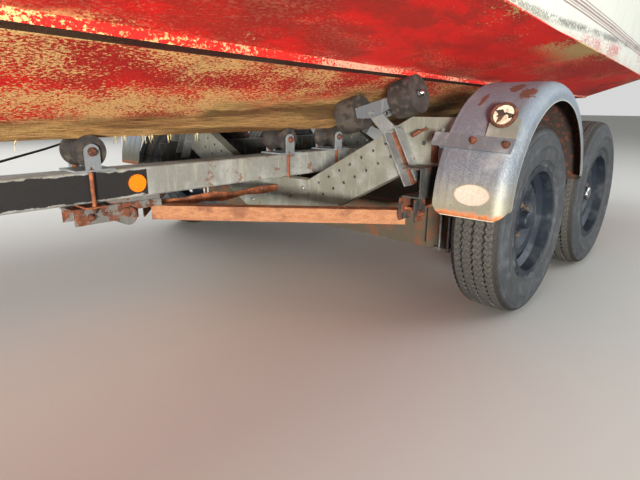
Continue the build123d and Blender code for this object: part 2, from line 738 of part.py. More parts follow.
def gull_outline(inset):
    """Closed outline of one gull arm pair, in the Y-Z plane."""
    drop = CROSS_DEPTH / 2 - inset
    shift = drop * math.tan(arm_rise() / 2)
    top = [(CROSS_BEND_Y - shift, CROSS_LOW_Z + drop), (CROSS_SHOULDER_Y - shift, CROSS_HIGH_Z + drop)]
    top.append((CROSS_END_Y, CROSS_HIGH_Z + drop))
    low = [(CROSS_END_Y, CROSS_HIGH_Z - drop), (CROSS_SHOULDER_Y + shift, CROSS_HIGH_Z - drop)]
    low.append((CROSS_BEND_Y + shift, CROSS_LOW_Z - drop))
    half = top + low
    return half + [(-y, z) for y, z in reversed(half)]


def crossmember(x, facing):
    """Folded channel with its web at x and its flanges behind, drilled in two rows."""
    x_back = x - facing * CROSS_FLANGE
    web = x - facing * CROSS_WALL
    solid = plate_yz(gull_outline(0), min(x, x_back), max(x, x_back))
    core = plate_yz(gull_outline(CROSS_WALL), min(web, x_back - facing), max(web, x_back - facing))
    solid = solid - core
    rise = arm_rise()
    x0, x1 = min(x, web) - 2, max(x, web) + 2
    for row in HOLE_ROWS:
        down = row - CROSS_DEPTH / 2
        for k in range(7):
            along = 62 + HOLE_PITCH * k
            y = CROSS_BEND_Y + along * math.cos(rise) + down * math.sin(rise) + 8
            z = CROSS_LOW_Z + along * math.sin(rise) - down * math.cos(rise) + 4
            for side in (1, -1):
                solid = solid - rod_x(side * y, z, HOLE_R, x0, x1)
    for y, z in ((736, 631), (798, 631), (730, 583)):
        for side in (1, -1):
            solid = solid - rod_x(side * y, z, HOLE_R + 2, x0, x1)
    return solid


def cross_saddle(x, facing):
    """Wider channel that clamps the cross-member up under the spine."""
    front = x + facing * CROSS_WALL
    low = CROSS_LOW_Z - CROSS_DEPTH / 2 - 5
    plate = block(min(x, front), max(x, front), -192, 192, low, SPINE_BOTTOM - 0.3)
    return plate - rod_x(-62, 311, 6, x - 20, x + 20)


def strut():
    """Angle iron from the spine clamp out to the front spring hanger."""
    sx, sy = STRUT_START
    ex, ey = STRUT_END
    way = Vector(ex - sx, ey - sy, 0)
    length = way.length
    plane = Plane(origin=(sx, sy, STRUT_TOP), x_dir=tuple(way.normalized()), z_dir=(0, 0, 1))
    upright = Box(length, STRUT_WALL, STRUT_LEG, align=(Align.MIN, Align.MIN, Align.MAX))
    flange = Box(length, STRUT_LEG, STRUT_WALL, align=(Align.MIN, Align.MIN, Align.MAX))
    return plane * (upright + flange)


def strut_clamp():
    """Folded saddle with a cross tube, hung under the spine at the strut ends."""
    low = 332
    top = SPINE_BOTTOM - U_BOLT_DROP - 0.3
    cheek = block(CLAMP_X - 40, CLAMP_X + 170, 44, 50, low, top)
    plate = block(CLAMP_X - 130, CLAMP_X + 175, -50, 50, top - 7, top)
    pad = block(CLAMP_X - 130, CLAMP_X + 50, -40, 40, top - 1, SPINE_BOTTOM - 0.3)
    tube = rod_y(CLAMP_X, low + 11, 30, -62, 62)
    foot = block(CLAMP_X - 130, CLAMP_X - 20, -50, 50, STRUT_TOP + 0.3, top)
    return plate + cheek + starboard(cheek) + pad + tube + foot


def tie_strip():
    """Corroded flat bar below the spine, from the clamp to the cross saddle."""
    outline = [(212.3, 336), (212.3, 362), (330, 366), (470, 356), (560, 372), (700, 366), (819.7, 372)]
    outline += [(819.7, 361), (800, 360), (800, 340), (700, 332)]
    outline += [(610, 340), (520, 328), (400, 340), (300, 332)]
    return plate_xz(outline, -5, 5)


def keel_bracket(x):
    """U-shaped bracket with rounded ears, standing on the spine."""
    ear_half = KEEL_ROLLER_W / 2 + 4
    pin = keel_z(x) - KEEL_WAIST_R - 0.4
    base = block(x - 70, x + 55, -ear_half - 5, ear_half + 5, SPINE_TOP + 0.2, SPINE_TOP + 6)
    ear = block(x - 24, x + 24, ear_half, ear_half + 6, SPINE_TOP + 1, pin)
    ear = ear + rod_y(x, pin, 24, ear_half, ear_half + 6)
    pin_bar = rod_y(x, pin, PIN_R, -ear_half - 16, ear_half + 16)
    return base + ear + starboard(ear) + pin_bar


def keel_roller(x):
    """Waisted rubber roller on the bracket's pin."""
    half = KEEL_ROLLER_W / 2
    pin = keel_z(x) - KEEL_WAIST_R - 0.4
    ring = [(-half, PIN_R + RUNNING_GAP), (-half, KEEL_END_R), (-half + 10, KEEL_END_R), (-8, KEEL_WAIST_R)]
    ring += [(8, KEEL_WAIST_R), (half - 10, KEEL_END_R), (half, KEEL_END_R), (half, PIN_R + RUNNING_GAP)]
    return turned_y(ring, x, 0, pin)


def u_bolt(x):
    """Threaded rods down both sides of the spine with the plate under it."""
    y = SPINE_HALF_Y + 8
    middles = [cross - facing * CROSS_FLANGE / 2 for cross, facing in zip(CROSS_X, (1, -1))]
    over_cross = any(abs(x + 8 - middle) < 60 for middle in middles)
    if over_cross:
        return both(rod_z(x + 8, y, 6.5, SPINE_BOTTOM + 0.3, SPINE_TOP + 0.1))
    rods = both(rod_z(x + 8, y, 6.5, SPINE_BOTTOM - U_BOLT_DROP - 8, SPINE_TOP + 0.1))
    plate = block(x - 24, x + 40, -74, 74, SPINE_BOTTOM - U_BOLT_DROP, SPINE_BOTTOM - U_BOLT_DROP + 5.5)
    return [rods[0] + rods[1] + plate]


def arm_rise():
    """Angle of a cross-member's arm above level."""
    return math.atan2(CROSS_HIGH_Z - CROSS_LOW_Z, CROSS_SHOULDER_Y - CROSS_BEND_Y)


def roller_height(x, y, tilt):
    """Highest place of a roller's middle that keeps it under the hull, strake included."""
    half = WING_ROLLER_W / 2
    room = (WING_ROLLER_R + 1.2) / math.cos(tilt)
    heights = []
    for k in range(41):
        off = half * (k - 20) / 20
        skin = min(bottom_z(x - 20, y + off), bottom_z(x + 20, y + off))
        heights.append(skin - off * math.tan(tilt) - room)
    return min(heights)


def wing_set(face, facing, shift):
    """Channel post square to the arm, with its rocker and two rollers under one hull panel."""
    x = face + facing * WING_AHEAD
    rise = arm_rise()
    y0, y1 = (y - shift for y in WING_Y)
    tilt = math.atan((bottom_z(x, y1) - bottom_z(x, y0)) / (y1 - y0))
    for _ in range(8):
        z0 = roller_height(x, y0, tilt)
        z1 = roller_height(x, y1, tilt)
        tilt = math.atan2(z1 - z0, y1 - y0)
    along = (math.cos(tilt), math.sin(tilt))
    mid = ((y0 + y1) / 2, (z0 + z1) / 2)

    up = (-math.sin(rise), math.cos(rise))
    out = (math.cos(rise), math.sin(rise))
    foot = (WING_POST_FOOT[0] - shift, WING_POST_FOOT[1] - shift * math.tan(rise))
    half, wall, depth = 27, 5, 50

    def post_outline(half_width, low, high):
        corners = ((-1, low), (1, low), (1, high), (-1, high))
        outline = []
        for side, far in corners:
            wide = side * half_width
            outline.append((foot[0] + wide * out[0] + far * up[0], foot[1] + wide * out[1] + far * up[1]))
        return outline

    ring = post_outline(half, 0, WING_POST_LENGTH)
    core = post_outline(half - wall, -wall, WING_POST_LENGTH + wall)
    post = plate_yz(ring, *sorted((face, face + facing * depth)))
    post = post - plate_yz(core, *sorted((face + facing * wall, face + facing * (depth + 1))))
    pivot = (mid[0] + 2, mid[1] - 24)
    px, pz = pivot
    head = [ring[3], ring[2], (px + 34, pz + 4), (px - 14, pz + 12), (px - 16, pz - 14)]
    h0, h1 = sorted((face + facing * (depth - 6), face + facing * depth))
    post = post + plate_yz(head, h0, h1) + rod_x(*pivot, 7, *sorted((h0 + facing * 28, h0 - facing * 60)))

    plane = Plane(origin=(x, y0, z0), z_dir=(0, along[0], along[1]))
    length = math.hypot(y1 - y0, z1 - z0)
    body = Cylinder(WING_ROLLER_R, WING_ROLLER_W) - Cylinder(9 + RUNNING_GAP, WING_ROLLER_W + 2)
    rollers = [plane * Pos(0, 0, far) * body for far in (0, length)]
    links = plane * Pos(0, 0, length / 2) * Cylinder(9, length + WING_ROLLER_W + 24)
    gap = length / 2 - WING_ROLLER_W / 2 - 4
    for inner_face in (depth + 0.3, WING_AHEAD - 46):
        outline = []
        for far, drop in ((-gap, 12), (gap, 12), (gap, -24), (8, -38), (-20, -38), (-gap, -24)):
            y, z = mid[0] + far * along[0] - drop * along[1], mid[1] + far * along[1] + drop * along[0]
            outline.append((y, z))
        sides = sorted((face + facing * inner_face, face + facing * (inner_face + 6)))
        links = links + plate_yz(outline, *sides)
    for far in (14 - gap, gap - 14):
        ends = sorted((face + facing * (WING_AHEAD - 46), face + facing * (depth + 6)))
        links = links + rod_x(mid[0] + far * along[0], mid[1] + far * along[1], 10, *ends)
    links = links - rod_x(*pivot, 7 + RUNNING_GAP, face - 120, face + 120)
    return post, links, rollers


def fender():
    """Pressed sheet over the front wheel with a rounded corner and an outer skirt."""
    outer = FENDER_R
    t = FENDER_SHEET
    c = FENDER_CORNER
    k = math.sqrt(0.5)
    face_outline = [
        Line((FENDER_Y0, outer - t), (FENDER_Y0, outer)),
        Line((FENDER_Y0, outer), (FENDER_Y1 - c, outer)),
        ThreePointArc(
            (FENDER_Y1 - c, outer),
            (FENDER_Y1 - c + c * k, outer - c + c * k),
            (FENDER_Y1, outer - c),
        ),
        Line((FENDER_Y1, outer - c), (FENDER_Y1, outer - FENDER_SKIRT)),
        Line((FENDER_Y1, outer - FENDER_SKIRT), (FENDER_Y1 - t, outer - FENDER_SKIRT)),
        Line((FENDER_Y1 - t, outer - FENDER_SKIRT), (FENDER_Y1 - t, outer - c)),
        ThreePointArc(
            (FENDER_Y1 - t, outer - c),
            (FENDER_Y1 - c + (c - t) * k, outer - c + (c - t) * k),
            (FENDER_Y1 - c, outer - t),
        ),
        Line((FENDER_Y1 - c, outer - t), (FENDER_Y0, outer - t)),
    ]
    # The outline is drawn with the radius along +X, where the arc starts.
    face = make_face(face_outline)
    face = Plane(origin=(0, 0, 0), x_dir=(0, 1, 0), z_dir=(0, 0, -1)) * face
    solid = revolve(face, Axis((0, 0, 0), (0, -1, 0)), FENDER_ARC)
    rear_end = FENDER_R * math.sin(math.radians(FENDER_ARC))
    return Pos(0, 0, FENDER_Z) * (solid & (round_blank(-1, 1) + round_blank(rear_end - 4, -1)))


def round_blank(low, way):
    """Blank with round lower corners, ahead of the axle or behind it."""
    tall = 2 * FENDER_R
    wide = FENDER_Y1 - FENDER_Y0 + 2
    middle = (FENDER_Y0 + FENDER_Y1) / 2
    blank = Pos(middle, low + tall / 2) * RectangleRounded(wide, tall, FENDER_END_R)
    return extrude(Plane.YZ * blank, way * (FENDER_R + 2))


def on_bar(radius, up):
    """X and Z of a place on the bar: distance from the fender's axis, height along the bar's face."""
    a = math.radians(BAR_ANGLE)
    return radius * math.cos(a) - up * math.sin(a), FENDER_Z + radius * math.sin(a) + up * math.cos(a)


def turned_on_face(piece):
    """Turn a piece a little in its own face, as the bar sits on the fender."""
    y = (BAR_Y[0] + BAR_Y[1]) / 2
    return Pos(0, y, 0) * Rot(BAR_TILT, 0, 0) * Pos(0, -y, 0) * piece


def fender_bracket():
    """Flat bar across the fender's front with the plate back to the cross-member."""
    back = FENDER_R + 0.3
    bar = turned_on_face(block(back, back + BAR_T, BAR_Y[0], BAR_Y[1], -BAR_HALF, BAR_HALF))
    bar = Pos(0, 0, FENDER_Z) * Rot(0, -BAR_ANGLE, 0) * bar
    x = CROSS_X[0] - 30
    profile = [(x, 530), on_bar(back + 2, -BAR_HALF), on_bar(back + 2, BAR_HALF - 4), (x, 640)]
    return bar + plate_xz(profile, CROSS_END_Y + 0.3, CROSS_END_Y + 6.3)


def marker_lamp():
    """Round lamp leaning back on the plate that stands on the fender's bar."""
    foot = on_bar(FENDER_R + BAR_T - 0.5, BAR_HALF + 0.3)
    high = LAMP_R + 28
    plate = block(-3, 0, LAMP_Y - 38, LAMP_Y + 51, 0, high - 5)
    body = rod_x(LAMP_Y, high, LAMP_R, -0.5, 12) - rod_x(LAMP_Y, high, LAMP_R - 5, 4, 20)
    lamp = turned_on_face(plate + body)
    return Pos(foot[0], 0, foot[1]) * Rot(0, -LAMP_LEAN, 0) * lamp


def spine_beam():
    beam = block(SPINE_REAR, SPINE_FRONT, -SPINE_HALF_Y, SPINE_HALF_Y, SPINE_BOTTOM, SPINE_TOP)
    beam = fillet(beam.edges().filter_by(Axis.X), 8)
    y = SPINE_HALF_Y - SPINE_WALL
    low, high = SPINE_BOTTOM + SPINE_WALL, SPINE_TOP - SPINE_WALL
    return beam - block(SPINE_REAR - 1, SPINE_FRONT + 1, -y, y, low, high)


def coupler():
    """Ball coupler: sleeve over the drawbar's end, tube, socket head and its lever."""
    low, high = COUPLER_HEAD_Z
    foot = block(SPINE_FRONT - 220, SPINE_FRONT + 20, -56, 56, SPINE_TOP + 0.3, SPINE_TOP + 12)
    cheeks = both(block(SPINE_FRONT - 220, SPINE_FRONT + 20, 50.3, 58, 420, SPINE_TOP + 6))
    wall = block(SPINE_FRONT + 0.3, SPINE_FRONT + 20, -56, 56, 400, SPINE_TOP + 12)
    tube = rod_x(0, 470, 27, SPINE_FRONT + 1, COUPLER_X - 60)
    neck = block(COUPLER_X - 110, COUPLER_X, -30, 30, 446, high)
    head = rod_z(COUPLER_X, 0, COUPLER_HEAD_R, low, high)
    dome = rod_z(COUPLER_X, 0, 30, high - 1, high + 10)
    lever = [(COUPLER_X - 20, high - 4), (COUPLER_X - 20, high + 24), (COUPLER_X - 150, high + 52)]
    lever += [(COUPLER_X - 190, high + 50), (COUPLER_X - 190, high + 40), (COUPLER_X - 70, high - 4)]
    solid = foot + cheeks[0] + cheeks[1] + wall + tube + neck + head + dome + plate_xz(lever, -14, 14)
    return solid - rod_z(COUPLER_X, 0, BALL_SOCKET_R, low - 5, low + SOCKET_DEPTH)


def post_face(z):
    """Front face of the leaning winch post at a height."""
    return 4400 - 140 * (z - 508) / 782


def stem_x(z):
    """Where the stem's profile is at a height."""
    low, high = 3300, HULL_TABLE[-1][0]
    for _ in range(40):
        mid = (low + high) / 2
        low, high = (mid, high) if keel_z(mid) < z else (low, mid)
    return low


def winch_post():
    """Leaning box post with a stay, feet on the spine."""
    foot = block(4180, 4420, -55, 55, SPINE_TOP + 0.3, SPINE_TOP + 10)
    post = plate_xz([(4330, 508), (4400, 508), (4260, 1290), (4190, 1290)], -30, 30)
    stay = plate_xz([(4185, 508), (4225, 508), (4290, 830), (4262, 870)], -18, 18)
    return foot + post + stay


def winch():
    """Side plates, drum, ratchet gear and crank on the post's front face."""
    cheek = [(4235, 1010), (4330, 1000), (4420, 1060), (4420, 1150), (4340, 1200), (4215, 1200)]
    plates = both(plate_xz(cheek, 42, 47))
    drum = rod_y(4350, 1100, 38, -42.5, 42.5) + rod_y(4350, 1100, 12, -70, 120)
    gear = rod_y(4350, 1100, 62, 50, 58)
    crank = block(4340, 4360, 112, 120, 900, 1110) + rod_y(4350, 905, 14, 120, 220)
    base = [(post_face(1020) + 0.3, 1020), (post_face(1190) + 0.3, 1190), (post_face(1190) + 10, 1190)]
    base = plate_xz(base + [(post_face(1020) + 10, 1020)], -47, 47)
    return plates[0] + plates[1] + drum + gear + crank + base


def bow_stop():
    """Rubber block on the post's head, cut to the rake of the stem."""
    low, high = 1290.3, 1350
    shape = [(stem_x(low) + 6, low), (stem_x(high) + 3, high), (4240, high), (4255, low)]
    return plate_xz(shape, -45, 45)


def winch_strap():
    """Strap from the drum up to the bow eye."""
    return bar((4205.9, 0, 1180), (stem_x(BOW_EYE_Z) + 68, 0, 1234), 6)


def jockey_clamp():
    """Clamp on the drawbar's side and the outer tube of the jack."""
    r = JOCKEY_TUBE_R
    low = SPINE_BOTTOM
    tube = rod_z(JOCKEY_X, JOCKEY_Y, r, low, 830) - rod_z(JOCKEY_X, JOCKEY_Y, r - JOCKEY_WALL, low - 10, 815)
    lug = block(JOCKEY_X - 45, JOCKEY_X + 45, JOCKEY_Y, -SPINE_HALF_Y - 0.3, low + 15, low + 85)
    lug = lug - rod_z(JOCKEY_X, JOCKEY_Y, r - JOCKEY_WALL, low - 10, 815)
    top = rod_z(JOCKEY_X, JOCKEY_Y, 12, 829, 880)
    top = top + block(JOCKEY_X - 10, JOCKEY_X + 150, JOCKEY_Y - 8, JOCKEY_Y + 8, 872, 882)
    knob = rod_z(JOCKEY_X + 142, JOCKEY_Y, 13, 880, 950)
    return tube + lug + top + knob


def jockey_leg():
    """Inner tube of the jack, wound up and down inside the outer one."""
    r = JOCKEY_TUBE_R - JOCKEY_WALL - RUNNING_GAP
    foot = JOCKEY_CROWN_Z + JOCKEY_CROWN_T + 6
    leg = rod_z(JOCKEY_X, JOCKEY_Y, r, foot, 600)
    return leg - rod_z(JOCKEY_X, JOCKEY_Y, 10 + RUNNING_GAP, foot - 12, 420)


def jockey_fork():
    """Swivelling fork with its spigot in the inner tube."""
    r = JOCKEY_WHEEL_R
    ax = JOCKEY_X - JOCKEY_TRAIL
    low = JOCKEY_CROWN_Z
    spigot = rod_z(JOCKEY_X, JOCKEY_Y, 10, low - 3, 400)
    crown = block(ax - 30, JOCKEY_X + 28, JOCKEY_Y - 45, JOCKEY_Y + 45, low, low + JOCKEY_CROWN_T)
    half = JOCKEY_WHEEL_W / 2 + 6
    profile = [(ax - 30, low + 7), (JOCKEY_X + 10, low + 7), (ax + 22, r - 22), (ax - 22, r - 22)]
    cheek = plate_xz(profile, half, half + 6)
    fork = spigot + crown + Pos(0, JOCKEY_Y, 0) * cheek + Pos(0, JOCKEY_Y, 0) * starboard(cheek)
    return fork + rod_y(ax, r, 8, JOCKEY_Y - half - 10, JOCKEY_Y + half + 10)


def jockey_wheel():
    r = JOCKEY_WHEEL_R
    half = JOCKEY_WHEEL_W / 2
    ring = [(-half, 8 + RUNNING_GAP), (-half, 30), (-half + 12, 36), (-half + 12, 62), (-half, 66)]
    ring += [(-half, r - 12), (-half + 12, r), (half - 12, r), (half, r - 12), (half, 66)]
    ring += [(half - 12, 62), (half - 12, 36), (half, 30), (half, 8 + RUNNING_GAP)]
    return turned_y(ring, JOCKEY_X - JOCKEY_TRAIL, JOCKEY_Y, r)


def lamp_bar():
    """Cross tube at the spine's rear end with tail lamps and a blank plate."""
    x = SPINE_REAR + 60
    tube = block(x - 20, x + 20, -780, 780, SPINE_BOTTOM - 40.3, SPINE_BOTTOM - 0.3)
    lamps = both(block(x - 70, x - 20, 600, 780, 345, 425))
    plate = block(x - 26, x - 20, -260, 260, 285, 395)
    return tube + plate, lamps


def reflector():
    return rod_y(905, 448, 30, SPINE_HALF_Y + 0.3, SPINE_HALF_Y + 7)


def wiring_cable():
    """Lead from the top of the spine out to the starboard lamp."""
    points = [(1480, -20, 504.3), (1400, -60, 507), (1050, -330, 545), (700, -620, 590), (420, -800, 600)]
    path = FilletPolyline(*points, radius=60)
    start = Plane(origin=path @ 0, z_dir=path % 0)
    return sweep(start * Circle(4), path)


os.makedirs("parts", exist_ok=True)

write("hull_shell", hull_solid())
write("deck", deck_solid())
liner, bench = cockpit_liner()
write("cockpit_liner", liner, bench)
write("helm_consoles", console(1), console(-1))
write("seat_shells", seat_shell(1), seat_shell(-1))
write("seat_cushions", *seat_cushions(1), *seat_cushions(-1))
write("bench_cushions", *bench_cushions())
screen_frame, screen_panes = windscreen()
write("windscreen_frame", screen_frame)
write("windscreen_panes", *screen_panes)
write("rub_rail", *rub_rail())
write("deck_cleats", *[cleat(x, side) for x in (3500, -1750) for side in (1, -1)])
write("tow_eyes", bow_eye(), stern_eye(1), stern_eye(-1))
write("helm_wheel", helm_wheel())

write("motor_clamp", motor_clamp())
write("motor_swivel", swivel_bracket())
write("motor_leg", motor_leg())
write("motor_cowl", motor_cowl())
write("propeller", propeller())

WHEEL_NAMES = {(0, 1): "front_port", (0, -1): "front_starboard"}
WHEEL_NAMES.update({(1, 1): "rear_port", (1, -1): "rear_starboard"})
for (row, side), label in WHEEL_NAMES.items():
    write(f"tyre_{label}", tyre(AXLE_X[row], side))
    write(f"rim_{label}", rim(AXLE_X[row], side))

write("axles", *[axle(x) for x in AXLE_X])
springs = [piece for x in AXLE_X for piece in both(leaf_spring(x))]
write("leaf_springs", *springs)
write("side_rails", *both(side_rail()))
write("spring_hangers", *[piece for plate in spring_hangers() for piece in both(plate)])
write("crossmembers", crossmember(CROSS_X[0], 1), crossmember(CROSS_X[1], -1))
write("cross_saddles", cross_saddle(CROSS_X[0], 1), cross_saddle(CROSS_X[1], -1))
write("struts", *both(strut()))
write("strut_clamp", strut_clamp())
write("tie_strip", tie_strip())

write("keel_brackets", *[keel_bracket(x) for x in KEEL_ROLLER_X])
write("keel_rollers", *[keel_roller(x) for x in KEEL_ROLLER_X])
write("u_bolts", *[piece for x in KEEL_ROLLER_X for piece in u_bolt(x)])
posts, rockers, rollers = [], [], []
for wing_face, wing_facing, wing_shift in zip(CROSS_X, (1, -1), WING_SHIFT):
    post_piece, rocker_piece, roller_pieces = wing_set(wing_face, wing_facing, wing_shift)
    posts += both(post_piece)
    rockers += both(rocker_piece)
    rollers += [piece for roller in roller_pieces for piece in both(roller)]
write("wing_posts", *posts)
write("wing_rockers", *rockers)
write("wing_rollers", *rollers)

write("fenders", *both(fender()))
write("fender_brackets", *both(fender_bracket()))
write("marker_lamps", *both(marker_lamp()))
write("spine_beam", spine_beam())
write("coupler", coupler())
write("winch_post", winch_post())
write("winch", winch())
write("winch_strap", winch_strap())
write("bow_stop", bow_stop())
write("jockey_clamp", jockey_clamp())
write("jockey_leg", jockey_leg())
write("jockey_fork", jockey_fork())
write("jockey_wheel", jockey_wheel())
rear_bar, rear_lamps = lamp_bar()
write("lamp_bar", rear_bar)
write("tail_lamps", *rear_lamps)
write("side_reflectors", *both(reflector()))
write("wiring_cable", wiring_cable())
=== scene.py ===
import json
import math
import random

import bmesh
import bpy
from mathutils import Matrix, Vector
from mathutils.bvhtree import BVHTree


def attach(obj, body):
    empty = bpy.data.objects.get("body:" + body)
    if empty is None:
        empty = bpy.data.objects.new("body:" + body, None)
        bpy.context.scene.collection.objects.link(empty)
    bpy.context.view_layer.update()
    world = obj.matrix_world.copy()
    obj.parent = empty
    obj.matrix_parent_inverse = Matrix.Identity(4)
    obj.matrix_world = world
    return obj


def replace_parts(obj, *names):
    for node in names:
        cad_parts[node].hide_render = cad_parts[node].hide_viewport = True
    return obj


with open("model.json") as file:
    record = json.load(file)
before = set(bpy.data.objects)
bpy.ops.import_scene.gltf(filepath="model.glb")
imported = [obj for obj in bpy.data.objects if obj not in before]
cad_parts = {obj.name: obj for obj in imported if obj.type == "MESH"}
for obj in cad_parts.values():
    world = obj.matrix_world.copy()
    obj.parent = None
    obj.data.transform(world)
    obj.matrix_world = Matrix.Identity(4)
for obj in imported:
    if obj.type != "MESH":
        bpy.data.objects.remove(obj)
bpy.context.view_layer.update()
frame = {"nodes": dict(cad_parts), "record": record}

# Metres. +X points to the bow, +Y to port, +Z up. The trailer is set out from the
# middle of its front axle, so places are given from there and moved by FRONT_AXLE.
FRONT_AXLE = -1.2185
REAR_AXLE = -0.764
TYRE_R = 0.325
FENDER_R = 0.395
FENDER_Z = 0.390
FRONT_CROSS_X = 0.206
REAR_CROSS_X = -1.010
SIDES = (1, -1)
ROOT = "boat_and_trailer"
NODES = frame["nodes"]


def at(x, y, z):
    """Place in the frame of a point given from the front axle."""
    return Vector((x + FRONT_AXLE, y, z))


def colour(red, green, blue):
    """Linear colour of a paint named by its 0-255 screen values."""
    parts = [v / 255 for v in (red, green, blue)]
    return tuple(v / 12.92 if v <= 0.04045 else ((v + 0.055) / 1.055) ** 2.4 for v in parts) + (1.0,)


# Camera, light and floor

FOCAL_PX = 489.03
CAMERA_AT = at(1.7176, 1.6046, 0.7016)
CAMERA_YAW = -2.412996
CAMERA_PITCH = -0.266491
CAMERA_ROLL = 0.007637


def place_camera():
    data = bpy.data.cameras.new("photo_camera")
    data.sensor_width = 36
    data.lens = 36 * FOCAL_PX / 640
    data.clip_start = 0.05
    data.clip_end = 200
    camera = bpy.data.objects.new("photo_camera", data)
    bpy.context.scene.collection.objects.link(camera)
    forward = Vector((
        math.cos(CAMERA_PITCH) * math.cos(CAMERA_YAW),
        math.cos(CAMERA_PITCH) * math.sin(CAMERA_YAW),
        math.sin(CAMERA_PITCH),
    ))
    level = forward.cross(Vector((0, 0, 1))).normalized()
    lift = level.cross(forward)
    turn, tip = math.cos(CAMERA_ROLL), math.sin(CAMERA_ROLL)
    right = level * turn + lift * tip
    up = lift * turn - level * tip
    camera.matrix_world = Matrix((
        (right.x, up.x, -forward.x, CAMERA_AT.x),
        (right.y, up.y, -forward.y, CAMERA_AT.y),
        (right.z, up.z, -forward.z, CAMERA_AT.z),
        (0, 0, 0, 1),
    ))
    bpy.context.scene.camera = camera


def soft_light(name, place, aim, size, power, tint=(1.0, 1.0, 1.0), spread=180):
    data = bpy.data.lights.new(name, "AREA")
    data.shape = "RECTANGLE"
    data.size, data.size_y = size
    data.energy = power
    data.color = tint
    data.spread = math.radians(spread)
    light = bpy.data.objects.new(name, data)
    bpy.context.scene.collection.objects.link(light)
    light.location = place
    light.rotation_euler = (Vector(aim) - Vector(place)).to_track_quat("-Z", "Y").to_euler()


def light_studio():
    warm, cool = (1.0, 0.95, 0.87), (0.94, 0.97, 1.0)
    soft_light("key_light", (10.2, 9.6, 0.60), (-0.6, 0.3, 0.75), (2.4, 1.6), 420, warm, spread=50)
    soft_light("fill_light", (-5.5, 6.5, 4.2), (0.0, 0.0, 0.8), (6.0, 4.0), 260, cool)
    soft_light("back_light", (0.0, -7.5, 5.0), (0.0, 0.0, 0.8), (8.0, 4.0), 380)
    soft_light("top_light", (0.0, 0.0, 8.0), (0.0, 0.0, 0.0), (8.0, 5.0), 300)
    world = bpy.data.worlds.new("studio")
    bpy.context.scene.world = world
    world.use_nodes = True
    tree = Tree(world.node_tree)
    tree.tree.nodes.clear()
    seen = tree.add("LightPath")
    plain = tree.larger(seen.outputs["Is Camera Ray"], seen.outputs["Is Glossy Ray"])
    strength = tree.add("MapRange", {}, Value=plain, To_Min=0.30, To_Max=0.80)
    back = tree.add("Background", {}, Color=(236, 237, 236), Strength=strength.outputs[0])
    tree.add("OutputWorld", {}, Surface=back.outputs[0])


# Shader nodes by short calls

class Tree:
    """Adds nodes to one shader tree; inputs are named with _ for spaces, or _0, _1 by number.

    A colour is given by its 0-255 screen values.
    """

    def __init__(self, tree):
        self.tree = tree

    def add(self, kind, settings=None, **inputs):
        node = self.tree.nodes.new("ShaderNode" + kind)
        for key, value in (settings or {}).items():
            setattr(node, key, value)
        for key, value in inputs.items():
            name = int(key[1:]) if key[1:].isdigit() else key.replace("_", " ")
            self.feed(node.inputs[name], value)
        return node

    def feed(self, socket, value):
        if isinstance(value, bpy.types.NodeSocket):
            self.tree.links.new(value, socket)
        elif socket.type == "RGBA":
            socket.default_value = colour(*value)
        else:
            socket.default_value = value

    def math(self, operation, a, b=0.0):
        return self.add("Math", {"operation": operation}, _0=a, _1=b).outputs[0]

    def times(self, a, b):
        return self.math("MULTIPLY", a, b)

    def plus(self, a, b):
        return self.math("ADD", a, b)

    def minus(self, a, b):
        return self.math("SUBTRACT", a, b)

    def size_of(self, a):
        return self.math("ABSOLUTE", a)

    def larger(self, a, b):
        return self.math("MAXIMUM", a, b)

    def far(self, a, b):
        """Length of the hypotenuse over a and b."""
        return self.math("SQRT", self.plus(self.math("POWER", a, 2.0), self.math("POWER", b, 2.0)))

    def noise(self, place, scale, detail, roughness=0.5):
        node = self.add("TexNoise", {}, Vector=place, Scale=scale, Detail=detail, Roughness=roughness)
        return node.outputs["Fac"]

    def step(self, value, low, high):
        """0 below low and 1 above high, eased between."""
        eased = {"interpolation_type": "SMOOTHSTEP"}
        return self.add("MapRange", eased, Value=value, From_Min=low, From_Max=high).outputs[0]

    def mix(self, mask, a, b):
        return self.add("Mix", {"data_type": "RGBA"}, _0=mask, _6=a, _7=b).outputs[2]

    def blend(self, mask, a, b):
        return self.add("Mix", {"data_type": "FLOAT"}, _0=mask, _2=a, _3=b).outputs[0]

    def place(self):
        return self.add("TexCoord").outputs["Object"]

    def xyz(self, vector):
        return self.add("SeparateXYZ", {}, Vector=vector).outputs

    def vector(self, x, y, z):
        return self.add("CombineXYZ", {}, X=x, Y=y, Z=z).outputs[0]

    def scaled(self, vector, x, y, z):
        return self.add("VectorMath", {"operation": "MULTIPLY"}, _0=vector, _1=(x, y, z)).outputs[0]

    def group(self, tree, **inputs):
        node = self.tree.nodes.new("ShaderNodeGroup")
        node.node_tree = tree
        for key, value in inputs.items():
            self.feed(node.inputs[key.replace("_", " ")], value)
        return node.outputs

    def bump(self, height, strength, distance):
        return self.add("Bump", {}, Height=height, Strength=strength, Distance=distance).outputs[0]

    def facing(self):
        return self.xyz(self.add("NewGeometry").outputs["True Normal"])


def new_group(name, inputs, outputs):
    """Node group with named sockets: the group, its Tree, the sockets it is given and those it feeds."""
    group = bpy.data.node_groups.new(name, "ShaderNodeTree")
    kinds = {"value": "NodeSocketFloat", "vector": "NodeSocketVector", "colour": "NodeSocketColor"}
    for label, kind, default in inputs:
        socket = group.interface.new_socket(label, in_out="INPUT", socket_type=kinds[kind])
        if default is not None:
            socket.default_value = default
    for label, kind in outputs:
        group.interface.new_socket(label, in_out="OUTPUT", socket_type=kinds[kind])
    tree = Tree(group)
    source = group.nodes.new("NodeGroupInput")
    sink = group.nodes.new("NodeGroupOutput")
    return group, tree, source.outputs, sink.inputs


